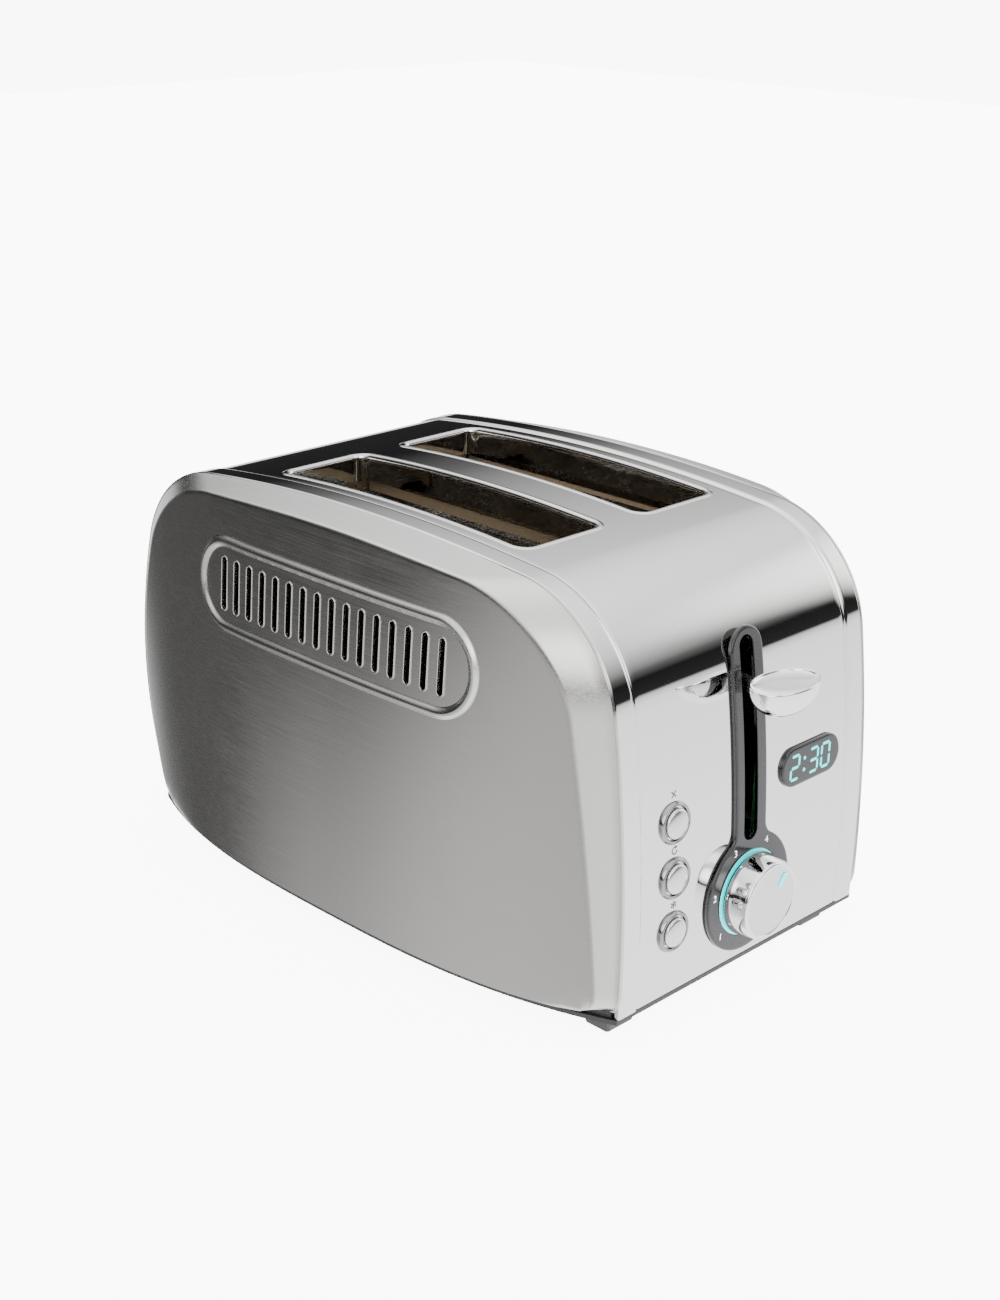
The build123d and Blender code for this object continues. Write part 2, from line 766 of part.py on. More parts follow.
guide_low = 34.0
guide_high = 152.0
guide_half = 66.0
for side_name, sign in (("left", -1), ("right", 1)):
    for where, guide_x, outward in (("inner", guide_inner_x, -1), ("outer", guide_outer_x, 1)):
        x = sign * guide_x
        back = sign * outward
        with BuildPart() as bread_guide:
            with BuildSketch(along(x - 0.4)):
                with Locations((0, (guide_low + guide_high) / 2)):
                    Rectangle(2 * guide_half, guide_high - guide_low)
                with Locations((0, 88)):
                    with GridLocations(14.4, 1, 9, 1):
                        RectangleRounded(11, 96, 2, mode=Mode.SUBTRACT)
                with Locations((0, ear_z)):
                    Rectangle(2 * (chamber_half + 3), 5)
            extrude(amount=0.8)
            with BuildSketch(level(guide_high)):
                with Locations((x + back * 1.6, 0)):
                    Rectangle(4, 2 * guide_half)
            extrude(amount=-0.8)
            with BuildSketch(level(guide_low)):
                with Locations((x + back * 1.6, 0)):
                    Rectangle(4, 2 * guide_half)
            extrude(amount=0.8)
        finish(bread_guide, side_name + "_" + where + "_guide")

# ---- electrics and fasteners ------------------------------------------------
with BuildPart() as power_board:
    with BuildSketch(level(base_floor + 3)):
        with Locations((44, -106)):
            RectangleRounded(34, 38, 2)
    extrude(amount=1.6)
    with BuildSketch(level(base_floor)):
        with Locations((32, -92), (56, -92), (32, -120), (56, -120)):
            Circle(2)
    extrude(amount=3)
finish(power_board, "power_board")

with BuildPart() as power_relay:
    with BuildSketch(level(base_floor + 4.6)):
        with Locations((48, -100)):
            RectangleRounded(18, 15, 1)
    extrude(amount=15)
    fillet(power_relay.edges().group_by(Axis.Z)[-1], radius=0.8)
finish(power_relay, "power_relay")

with BuildPart() as mains_gland:
    with BuildSketch(on_rear(gland_x, gland_z, -panel_step + 0.05)):
        Circle(7.5)
    extrude(amount=2.15)
    with BuildSketch(on_rear(gland_x, gland_z, -0.5)):
        Circle(5)
    extrude(amount=-7)
    fillet(mains_gland.edges().group_by(Axis.Y)[-1], radius=0.8)
    with BuildSketch(on_rear(gland_x, gland_z, 5)):
        Circle(3.2)
    extrude(amount=-20, mode=Mode.SUBTRACT)
finish(mains_gland, "mains_gland")

with BuildPart() as base_screws:
    with BuildSketch(level(base_low - 1.6)):
        with Locations(*screw_spots):
            Circle(3)
    extrude(amount=1.6)
    with BuildSketch(level(base_low)):
        with Locations(*screw_spots):
            Circle(1.6)
    extrude(amount=5.6)
finish(base_screws, "base_screws")
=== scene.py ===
"""A two-slice pop up toaster in polished and brushed steel, on a pale floor."""
import math

import bmesh
import bpy
import numpy as np
from mathutils import Matrix, Vector
from mathutils.bvhtree import BVHTree
from mathutils.interpolate import poly_3d_calc


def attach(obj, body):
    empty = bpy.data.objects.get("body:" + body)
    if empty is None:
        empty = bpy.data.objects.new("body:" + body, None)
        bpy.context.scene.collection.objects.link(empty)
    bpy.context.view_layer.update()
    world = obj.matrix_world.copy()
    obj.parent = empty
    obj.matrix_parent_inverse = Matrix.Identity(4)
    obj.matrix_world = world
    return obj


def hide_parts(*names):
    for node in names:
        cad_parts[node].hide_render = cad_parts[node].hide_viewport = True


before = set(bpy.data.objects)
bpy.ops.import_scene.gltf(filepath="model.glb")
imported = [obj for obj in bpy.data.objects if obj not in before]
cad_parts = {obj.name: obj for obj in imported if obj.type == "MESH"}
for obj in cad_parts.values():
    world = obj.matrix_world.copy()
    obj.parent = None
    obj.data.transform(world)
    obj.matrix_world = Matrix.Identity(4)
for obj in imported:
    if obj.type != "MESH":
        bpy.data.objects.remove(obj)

bl_info = {
    "name": "Pop up toaster",
    "version": (1, 0, 0),
    "blender": (4, 5, 0),
    "location": "3D View > Sidebar > Toaster",
    "description": "Builds the visible pieces of a two-slice pop up toaster",
    "category": "Object",
}

MM = 0.001
HOUSING = "housing"


def mm(value):
    """A millimetre value in scene units."""
    return value * MM


def length(name, description, default):
    """A length property given in millimetres."""
    return bpy.props.FloatProperty(
        name=name, description=description, default=default * MM, unit="LENGTH", precision=4)


def tint(name, description, default):
    """A colour property."""
    return bpy.props.FloatVectorProperty(
        name=name, description=description, default=(*default, 1.0), size=4,
        subtype="COLOR", min=0.0, max=1.0)


class ToasterShape(bpy.types.PropertyGroup):
    """Sizes of the toaster."""
    middle: length("Middle", "Body centre behind the origin", 6.9)
    body_half: length("Half length", "Front face from the body's centre", 137.5)
    body_top: length("Top", "Highest point of the wrap", 170.2)
    metal_low: length("Metal edge", "Lower edge of the metal", 9.5)
    seam: length("Seam", "Where the wrap meets the side pans", 71.2)
    front_bow: length("Front bow", "Radius of the front face seen from the side", 587.0)
    waist: length("Waist", "Height where the front bow is fullest", 32.0)
    rear_half: length("Rear half length", "Rear face from the body's centre", 144.2)
    rear_bow: length("Rear bow", "Radius of the rear face seen from the side", 200.0)
    rear_waist: length("Rear waist", "Height where the rear bow is fullest", 70.0)
    top_bow: length("Top bow", "Radius of the top seen from the side", 830.0)
    shoulder: length("Shoulder", "Bend between front and top", 50.0)
    panel_half: length("Panel half width", "Half width of the sunk main panel", 60.3)
    panel_step: length("Panel step", "How far the main panel is sunk", 0.7)
    sheet: length("Sheet", "Sheet metal thickness", 1.0)
    slot_x: length("Slot offset", "Centre of a bread slot", 31.5)
    slot_width: length("Slot width", "Width of a bread slot", 41.0)
    slot_length: length("Slot length", "Length of a bread slot", 134.0)
    slot_corner: length("Slot corner", "Corner radius of a bread slot", 5.0)
    rim_run: length("Rim run", "Slanted rim of a side pan, outwards", 24.0)
    rim_in: length("Rim draw", "Slanted rim of a side pan, front and rear", 34.0)
    rim_drop: length("Rim drop", "Slanted rim of a side pan, at the top", 6.0)
    bead_z: length("Bead height", "Centre of the racetrack bead", 129.9)
    bead_long: length("Bead length", "Outer length of the racetrack bead", 160.0)
    bead_tall: length("Bead size", "Outer height of the racetrack bead", 39.7)
    bead_width: length("Bead width", "Width of the racetrack bead", 5.0)
    bead_proud: length("Bead lift", "How far the bead stands out", 1.5)
    vent_pitch: length("Vent pitch", "From one vent to the next", 8.3)
    vent_tall: length("Vent height", "Height of a vent", 21.5)
    vent_wide: length("Vent width", "Width of a vent", 3.0)
    vent_count: bpy.props.IntProperty(name="Vents", description="Vents in a side pan", default=16)
    stem_half: length("Stem half width", "Half width of the bezel's stem", 8.9)
    stem_top: length("Stem top", "Top of the bezel", 141.0)
    dial_z: length("Dial height", "Centre of the dial", 37.0)
    dial_radius: length("Dial radius", "Radius of the bezel round the dial", 24.2)
    slot_low: length("Lever slot low", "Lower end of the lever slot", 58.7)
    slot_high: length("Lever slot high", "Upper end of the lever slot", 137.5)
    lever_z: length("Lever height", "Rim of the lever knob", 124.6)
    lever_y: length("Lever reach", "Centre of the lever knob", 147.6)
    lever_long: length("Lever half width", "Half width of the lever knob", 16.2)
    lever_deep: length("Lever half depth", "Half depth of the lever knob", 10.3)
    lever_bowl: length("Lever bowl", "Depth of the lever knob's bowl", 12.0)
    knob_radius: length("Knob radius", "Radius of the browning knob", 16.6)
    knob_front: length("Knob face", "Face of the knob from the body's centre", 149.4)
    button_x: length("Button offset", "Centre of the buttons", -42.5)
    button_low: length("Lowest button", "Height of the lowest button", 35.6)
    button_pitch: length("Button pitch", "From one button to the next", 21.7)
    display_x: length("Display offset", "Centre of the display", 36.4)
    display_z: length("Display height", "Height of the display", 79.5)
    side_power: bpy.props.FloatProperty(
        name="Side fullness", description="Fullness of a side pan seen from above", default=2.84)


class ToasterColours(bpy.types.PropertyGroup):
    """Colours of the toaster."""
    polished: tint("Polished steel", "Wrap", (0.80, 0.79, 0.77))
    brushed: tint("Brushed steel", "Side pans", (0.62, 0.61, 0.59))
    chrome: tint("Chrome", "Knob and lever", (0.86, 0.86, 0.87))
    smoked: tint("Smoked chrome", "Button rings", (0.30, 0.30, 0.31))
    satin: tint("Satin metal", "Button caps and knob face", (0.74, 0.74, 0.73))
    black: tint("Black", "Bezel and base", (0.010, 0.010, 0.011))
    teal: tint("Teal", "Lights", (0.0, 0.42, 0.43))
    inner: tint("Inner steel", "Sheet metal inside", (0.60, 0.58, 0.54))
    mica: tint("Mica", "Heater boards", (0.16, 0.105, 0.06))


def shape():
    """The size settings."""
    return bpy.context.scene.toaster_shape


def colours():
    """The colour settings."""
    return bpy.context.scene.toaster_colours


# ---- shared shape formulas ---------------------------------------------------
def front_at(z, half):
    """Distance of the bowed front from the body's centre at height z."""
    s = shape()
    return half - s.front_bow + np.sqrt(s.front_bow**2 - (z - s.waist) ** 2)


def top_at(y, top):
    """Height of the bowed top at distance y from the body's centre."""
    s = shape()
    return top - s.top_bow + np.sqrt(s.top_bow**2 - y**2)


def end_outline(half, bow, waist, top, bend, low, steps):
    """Points and outward normals of one end seen from the side, bottom to middle of the top."""
    s = shape()
    reach_face = bow - bend
    reach_top = s.top_bow - bend
    face_hub = np.array([half - bow, waist])
    top_hub = np.array([0.0, top - s.top_bow])
    span = face_hub - top_hub
    gap = np.linalg.norm(span)
    along = (gap**2 + reach_top**2 - reach_face**2) / (2 * gap)
    off = math.sqrt(reach_top**2 - along**2)
    unit = span / gap
    options = [top_hub + unit * along + turn * off * np.array([-unit[1], unit[0]]) for turn in (-1, 1)]
    hub = max(options, key=lambda p: p[1])
    face_angle = math.atan2(*(hub - face_hub)[::-1])
    top_angle = math.atan2(*(hub - top_hub)[::-1])
    low_angle = math.asin((low - waist) / bow)
    arcs = (
        (face_hub, bow, np.linspace(low_angle, face_angle, steps[0], endpoint=False)),
        (hub, bend, np.linspace(face_angle, top_angle, steps[1], endpoint=False)),
        (top_hub, s.top_bow, np.linspace(top_angle, math.pi / 2, steps[2])),
    )
    points = []
    normals = []
    for centre, radius, angles in arcs:
        for a in angles:
            normals.append((math.cos(a), math.sin(a)))
            points.append(centre + radius * np.array(normals[-1]))
    return np.array(points), np.array(normals)


def side_outline(half, top, bend, low, steps):
    """Points and outward normals of the body seen from the side, front bottom to rear bottom."""
    s = shape()
    front, front_out = end_outline(half, s.front_bow, s.waist, top, bend, low, steps)
    rear_reach = half + s.rear_half - s.body_half
    rear, rear_out = end_outline(rear_reach, s.rear_bow, s.rear_waist, top, bend, low, steps)
    flip = np.array([-1, 1])
    return np.vstack([front * flip, rear[-2::-1]]), np.vstack([front_out * flip, rear_out[-2::-1]])


def crown_at(y, z):
    """How far out a side pan's crowned face stands at y, z."""
    s = shape()
    heights = [mm(h) for h in (9.5, 60.0, 120.0, 170.2)]
    starts = np.polyfit(heights, [mm(v) for v in (1.6, 3.0, 3.2, 3.0)], 3)
    bulges = np.polyfit(heights, [mm(v) for v in (20.4, 18.8, 16.0, 11.4)], 3)
    full = 1 - np.abs(y / (s.body_half + mm(1.0))) ** s.side_power
    return s.seam + np.polyval(starts, z) + np.polyval(bulges, z) * full


def front_point(x, z, lift):
    """A point lifted off the front face, in the scene."""
    s = shape()
    tilt = math.asin((z - s.waist) / s.front_bow)
    y = front_at(z, s.body_half)
    return Vector((x, s.middle - y - lift * math.cos(tilt), z + lift * math.sin(tilt)))


def front_plane(x, z, lift):
    """Matrix whose local z points out of the front face and local y points up."""
    s = shape()
    tilt = math.asin((z - s.waist) / s.front_bow)
    out = Vector((0, -math.cos(tilt), math.sin(tilt)))
    right = Vector((1, 0, 0))
    up = out.cross(right)
    turn = Matrix((right, up, out)).transposed().to_4x4()
    return Matrix.Translation(front_point(x, z, lift)) @ turn


# ---- mesh helpers ------------------------------------------------------------
def new_piece(name, verts, faces, materials, marks=None):
    """A mesh object with smooth faces; marks gives a material number per face."""
    mesh = bpy.data.meshes.new(name)
    mesh.from_pydata([tuple(v) for v in verts], [], faces)
    for material in materials:
        mesh.materials.append(material)
    if marks is not None:
        mesh.polygons.foreach_set("material_index", marks)
    mesh.validate()
    obj = bpy.data.objects.new(name, mesh)
    bpy.context.scene.collection.objects.link(obj)
    tidy_mesh(obj)
    return obj


def tidy_mesh(obj, angle=35):
    """Outward faces, smooth shading and sharp edges over an angle."""
    work = bmesh.new()
    work.from_mesh(obj.data)
    bmesh.ops.remove_doubles(work, verts=work.verts, dist=1e-6)
    bmesh.ops.recalc_face_normals(work, faces=work.faces)
    work.to_mesh(obj.data)
    work.free()
    obj.data.shade_smooth()
    obj.data.set_sharp_from_angle(angle=math.radians(angle))


def register_piece(obj, body, slot, *nodes):
    """Ties a piece to its body and the nodes that it stands for; the finish given as slot is not used."""
    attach(obj, body)
    if nodes:
        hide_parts(*nodes)
    return obj


def grid_faces(rows, columns, closed_rows=False, closed_columns=False, start=0):
    """Quads over rows x columns points laid out row by row."""
    faces = []
    for r in range(rows if closed_rows else rows - 1):
        for c in range(columns if closed_columns else columns - 1):
            a = r * columns + c
            b = r * columns + (c + 1) % columns
            d = ((r + 1) % rows) * columns + c
            e = ((r + 1) % rows) * columns + (c + 1) % columns
            faces.append((start + a, start + b, start + e, start + d))
    return faces


def turned(name, profile, matrix, materials, marks=None, steps=96, stretch=(1, 1)):
    """A closed turned piece; profile is (radius, height) from axis to axis."""
    verts = []
    for radius, height in profile[1:-1]:
        for step in range(steps):
            a = math.tau * step / steps
            verts.append(matrix @ Vector((radius * math.cos(a) * stretch[0],
                radius * math.sin(a) * stretch[1], height)))
    rows = len(profile) - 2
    faces = grid_faces(rows, steps, closed_columns=True)
    low = len(verts)
    verts.append(matrix @ Vector((0, 0, profile[0][1])))
    verts.append(matrix @ Vector((0, 0, profile[-1][1])))
    for step in range(steps):
        after = (step + 1) % steps
        faces.append((low, after, step))
        faces.append((low + 1, (rows - 1) * steps + step, (rows - 1) * steps + after))
    rings = None
    if marks is not None:
        rings = [marks[1 + row] for row in range(rows - 1) for _ in range(steps)]
        for _ in range(steps):
            rings += [marks[0], marks[-1]]
    return new_piece(name, verts, faces, materials, rings)


def turned_ring(name, profile, matrix, materials, steps=96):
    """A closed ring; profile is a closed loop of (radius, height)."""
    verts = []
    for radius, height in profile:
        for step in range(steps):
            a = math.tau * step / steps
            verts.append(matrix @ Vector((radius * math.cos(a), radius * math.sin(a), height)))
    faces = grid_faces(len(profile), steps, closed_rows=True, closed_columns=True)
    return new_piece(name, verts, faces, materials)


def cut(target, cutters):
    """Cuts closed meshes out of a piece and removes them."""
    for cutter in cutters:
        step = target.modifiers.new("cut", "BOOLEAN")
        step.operation = "DIFFERENCE"
        step.solver = "EXACT"
        step.object = cutter
    bpy.context.view_layer.update()
    result = bpy.data.meshes.new_from_object(target.evaluated_get(bpy.context.evaluated_depsgraph_get()))
    target.modifiers.clear()
    target.data = result
    for cutter in cutters:
        bpy.data.objects.remove(cutter, do_unlink=True)


def keep_shading(target, source, skin=0):
    """Gives the skin faces of a cut piece the smooth normals that the whole piece had."""
    source.calc_loop_triangles()
    points = [v.co.copy() for v in source.vertices]
    faces = [tuple(p.vertices) for p in source.polygons if p.material_index == skin]
    ring = {}
    for p in source.polygons:
        if p.material_index == skin:
            for v in p.vertices:
                ring.setdefault(v, Vector())
                ring[v] += p.normal * p.area
    tree = BVHTree.FromPolygons(points, faces)
    mesh = target.data
    mesh.shade_smooth()
    mesh.set_sharp_from_angle(angle=math.radians(35))
    normals = [Vector(n.vector) for n in mesh.corner_normals]
    for p in mesh.polygons:
        if p.material_index != skin:
            continue
        for loop in p.loop_indices:
            spot = mesh.vertices[mesh.loops[loop].vertex_index].co
            near = tree.find_nearest(spot)
            face = faces[near[2]]
            weights = poly_3d_calc([points[v] for v in face], near[0])
            blend = Vector()
            for v, weight in zip(face, weights):
                blend += ring[v].normalized() * weight
            normals[loop] = blend.normalized()
    mesh.normals_split_custom_set([tuple(n) for n in normals])


def block(name, low, high, materials):
    """A plain box between two corners."""
    verts = [(x, y, z) for x in (low[0], high[0]) for y in (low[1], high[1]) for z in (low[2], high[2])]
    faces = [(0, 1, 3, 2), (4, 6, 7, 5), (0, 4, 5, 1), (2, 3, 7, 6), (0, 2, 6, 4), (1, 5, 7, 3)]
    return new_piece(name, verts, faces, materials)


def prism(name, outline, matrix, low, high, materials):
    """A closed prism over a plane outline, from low to high."""
    count = len(outline)
    verts = [matrix @ Vector((x, y, low)) for x, y in outline]
    verts += [matrix @ Vector((x, y, high)) for x, y in outline]
    faces = [tuple(reversed(range(count))), tuple(range(count, 2 * count))]
    for step in range(count):
        after = (step + 1) % count
        faces.append((step, after, count + after, count + step))
    return new_piece(name, verts, faces, materials)


def stadium(long, tall, steps=16):
    """Outline of a slot with round ends, long across."""
    radius = tall / 2
    reach = long / 2 - radius
    points = []
    for side in (1, -1):
        for step in range(steps + 1):
            a = -math.pi / 2 + math.pi * step / steps
            points.append((side * (reach + radius * math.cos(a)), side * radius * math.sin(a)))
    return points


def rounded_box(wide, long, corner, steps=8, straight=10):
    """Outline of a rounded rectangle, with points along its long sides."""
    points = []
    for number, (sx, sy) in enumerate(((1, -1), (1, 1), (-1, 1), (-1, -1))):
        hub = (sx * (wide / 2 - corner), sy * (long / 2 - corner))
        for step in range(steps + 1):
            a = math.pi / 2 * (number - 1) + math.pi / 2 * step / steps
            points.append((hub[0] + corner * math.cos(a), hub[1] + corner * math.sin(a)))
        if number in (0, 2):
            start = np.array(points[-1])
            end = start + np.array([0, (long - 2 * corner) * (1 if number == 0 else -1)])
            points += [tuple(start + (end - start) * k / straight) for k in range(1, straight)]
    return points


# ---- materials ---------------------------------------------------------------
def new_group(name, inputs, outputs):
    """An empty shader group with its sockets."""
    group = bpy.data.node_groups.new(name, "ShaderNodeTree")
    for kind, label in inputs:
        group.interface.new_socket(name=label, in_out="INPUT", socket_type=kind)
    for kind, label in outputs:
        group.interface.new_socket(name=label, in_out="OUTPUT", socket_type=kind)
    start = group.nodes.new("NodeGroupInput")
    end = group.nodes.new("NodeGroupOutput")
    return group, start, end


def make_wear_group():
    """Fine stretched grain, soft smudges, sparse hairlines and a normal that follows the grain."""
    group, start, end = new_group(
        "surface_wear",
        (("NodeSocketVector", "Stretch"), ("NodeSocketFloat", "Grain Depth")),
        (("NodeSocketFloat", "Grain"), ("NodeSocketFloat", "Smudge"), ("NodeSocketFloat", "Hairline"),
         ("NodeSocketVector", "Normal")))
    nodes = group.nodes
    links = group.links
    coords = nodes.new("ShaderNodeTexCoord")
    stretched = nodes.new("ShaderNodeVectorMath")
    stretched.operation = "MULTIPLY"
    links.new(coords.outputs["Object"], stretched.inputs[0])
    links.new(start.outputs["Stretch"], stretched.inputs[1])
    grain = nodes.new("ShaderNodeTexNoise")
    grain.inputs["Scale"].default_value = 1.0
    grain.inputs["Detail"].default_value = 5.0
    grain.inputs["Roughness"].default_value = 0.65
    links.new(stretched.outputs[0], grain.inputs["Vector"])
    smudge = nodes.new("ShaderNodeTexNoise")
    smudge.inputs["Scale"].default_value = 38.0
    smudge.inputs["Detail"].default_value = 3.0
    smudge.inputs["Distortion"].default_value = 0.6
    links.new(coords.outputs["Object"], smudge.inputs["Vector"])
    bent = nodes.new("ShaderNodeTexNoise")
    bent.inputs["Scale"].default_value = 22.0
    links.new(coords.outputs["Object"], bent.inputs["Vector"])
    lines = nodes.new("ShaderNodeTexVoronoi")
    lines.feature = "DISTANCE_TO_EDGE"
    lines.inputs["Scale"].default_value = 60.0
    links.new(bent.outputs["Color"], lines.inputs["Vector"])
    thin = nodes.new("ShaderNodeMapRange")
    thin.inputs["From Min"].default_value = 0.0
    thin.inputs["From Max"].default_value = 0.012
    thin.inputs["To Min"].default_value = 1.0
    thin.inputs["To Max"].default_value = 0.0
    links.new(lines.outputs["Distance"], thin.inputs["Value"])
    bump = nodes.new("ShaderNodeBump")
    bump.inputs["Distance"].default_value = 0.00004
    links.new(start.outputs["Grain Depth"], bump.inputs["Strength"])
    links.new(grain.outputs["Fac"], bump.inputs["Height"])
    links.new(grain.outputs["Fac"], end.inputs["Grain"])
    links.new(smudge.outputs["Fac"], end.inputs["Smudge"])
    links.new(thin.outputs["Result"], end.inputs["Hairline"])
    links.new(bump.outputs["Normal"], end.inputs["Normal"])
    return group


def wear_group():
    """The shared wear group, made once."""
    return bpy.data.node_groups.get("surface_wear") or make_wear_group()


def surface(name, colour, metallic, rough, stretch, depth, grain_rough=0.05, smudge_rough=0.04,
            tone=0.06, coat=0.0, anisotropic=0.0, emission=None, strength=0.0):
    """A material with grain, smudges and faint hairlines."""
    known = bpy.data.materials.get(name)
    if known:
        return known
    material = bpy.data.materials.new(name)
    material.use_nodes = True
    material.diffuse_color = (*colour[:3], 1)
    nodes = material.node_tree.nodes
    links = material.node_tree.links
    shader = nodes["Principled BSDF"]
    wear = nodes.new("ShaderNodeGroup")
    wear.node_tree = wear_group()
    wear.inputs["Stretch"].default_value = stretch
    wear.inputs["Grain Depth"].default_value = depth
    first = nodes.new("ShaderNodeMapRange")
    first.inputs["From Min"].default_value = 0.3
    first.inputs["From Max"].default_value = 0.7
    first.inputs["To Min"].default_value = max(rough - grain_rough, 0.01)
    first.inputs["To Max"].default_value = rough + grain_rough
    links.new(wear.outputs["Grain"], first.inputs["Value"])
    second = nodes.new("ShaderNodeMapRange")
    second.inputs["From Min"].default_value = 0.45
    second.inputs["From Max"].default_value = 0.75
    second.inputs["To Min"].default_value = 0.0
    second.inputs["To Max"].default_value = smudge_rough
    links.new(wear.outputs["Smudge"], second.inputs["Value"])
    total = nodes.new("ShaderNodeMath")
    total.operation = "ADD"
    links.new(first.outputs["Result"], total.inputs[0])
    links.new(second.outputs["Result"], total.inputs[1])
    lined = nodes.new("ShaderNodeMath")
    lined.operation = "MULTIPLY_ADD"
    lined.inputs[1].default_value = 0.04
    links.new(wear.outputs["Hairline"], lined.inputs[0])
    links.new(total.outputs[0], lined.inputs[2])
    links.new(lined.outputs[0], shader.inputs["Roughness"])
    shade = nodes.new("ShaderNodeMix")
    shade.data_type = "RGBA"
    shade.inputs["A"].default_value = tuple(min(1, c * (1 - tone)) for c in colour[:3]) + (1,)
    shade.inputs["B"].default_value = tuple(min(1, c * (1 + tone)) for c in colour[:3]) + (1,)
    links.new(wear.outputs["Grain"], shade.inputs["Factor"])
    links.new(shade.outputs["Result"], shader.inputs["Base Color"])
    links.new(wear.outputs["Normal"], shader.inputs["Normal"])
    shader.inputs["Metallic"].default_value = metallic
    shader.inputs["Coat Weight"].default_value = coat
    shader.inputs["Coat Roughness"].default_value = 0.04
    shader.inputs["Anisotropic"].default_value = anisotropic
    if emission:
        shader.inputs["Emission Color"].default_value = (*emission[:3], 1)
        shader.inputs["Emission Strength"].default_value = strength
    return material


def look(name):
    """The toaster's materials by name."""
    c = colours()
    table = {
        "polished": (c.polished, 1.0, 0.04, (60, 900, 900), 0.03, 0.012, 0.035, 0.02),
        "brushed": (c.brushed, 1.0, 0.25, (1500, 24, 1500), 0.30, 0.05, 0.03, 0.07),
        "chrome": (c.chrome, 1.0, 0.045, (400, 400, 400), 0.02, 0.01, 0.03, 0.01),
        "smoked": (c.smoked, 1.0, 0.10, (600, 600, 600), 0.05, 0.03, 0.04, 0.03),
        "satin": (c.satin, 1.0, 0.24, (900, 900, 900), 0.25, 0.05, 0.04, 0.05),
        "black": (c.black, 0.0, 0.13, (700, 700, 700), 0.12, 0.03, 0.06, 0.10),
        "moulded": (c.black, 0.0, 0.46, (1800, 1800, 1800), 0.8, 0.08, 0.06, 0.20),
        "inner": (c.inner, 1.0, 0.20, (30, 700, 700), 0.12, 0.06, 0.10, 0.08),
        "shade": ((0.05, 0.05, 0.05), 0.6, 0.40, (300, 300, 300), 0.2, 0.08, 0.05, 0.15),
        "mica": (c.mica, 0.0, 0.42, (300, 300, 300), 0.5, 0.08, 0.05, 0.25),
        "ribbon": ((0.26, 0.22, 0.19), 1.0, 0.40, (600, 60, 600), 0.3, 0.08, 0.05, 0.15),
        "board": ((0.02, 0.13, 0.05), 0.0, 0.35, (500, 500, 500), 0.3, 0.05, 0.05, 0.10),
        "copper": ((0.66, 0.32, 0.13), 1.0, 0.25, (900, 900, 900), 0.3, 0.05, 0.05, 0.10),
        "brass": ((0.70, 0.52, 0.26), 1.0, 0.24, (900, 900, 900), 0.2, 0.05, 0.05, 0.08),
        "rod": ((0.62, 0.62, 0.63), 1.0, 0.22, (900, 900, 60), 0.2, 0.05, 0.05, 0.05),
        "casing": ((0.02, 0.07, 0.20), 0.0, 0.30, (800, 800, 800), 0.3, 0.05, 0.05, 0.10),
        "print": ((0.83, 0.84, 0.84), 0.0, 0.45, (900, 900, 900), 0.1, 0.05, 0.05, 0.05),
        "ink": ((0.03, 0.03, 0.03), 0.0, 0.50, (900, 900, 900), 0.1, 0.05, 0.05, 0.05),
    }
    if name == "teal":
        return surface(name, c.teal, 0.0, 0.25, (700, 700, 700), 0.1, 0.04, 0.04, 0.05,
                       emission=(0.0, 0.36, 0.37), strength=1.5)
    return surface(name, *table[name])


# ---- wrap --------------------------------------------------------------------
def wrap_columns():
    """Across the wrap: distance from the middle and depth under the full outline."""
    s = shape()
    edge = s.seam - mm(0.35)
    sunk = s.panel_step
    half = [(edge, mm(1.9)), (edge, mm(0.9)), (edge - mm(0.12), mm(0.55)), (edge - mm(0.4), mm(0.22)),
            (edge - mm(0.8), mm(0.06)), (edge - mm(1.3), 0.0), (s.panel_half + mm(2.2), 0.0),
            (s.panel_half + mm(1.5), mm(0.03)), (s.panel_half + mm(0.9), mm(0.18)),
            (s.panel_half + mm(0.5), mm(0.48)), (s.panel_half + mm(0.3), mm(0.9)),
            (s.panel_half - mm(0.15), mm(1.0)), (s.panel_half - mm(0.45), sunk + mm(0.1)),
            (s.panel_half - mm(0.9), sunk), (s.panel_half - mm(3.0), sunk)]
    middle = [(x, sunk) for x in np.linspace(s.panel_half - mm(8), mm(2), 9)]
    right = half + middle
    return [(-x, d) for x, d in right] + [(x, d) for x, d in reversed(right)]


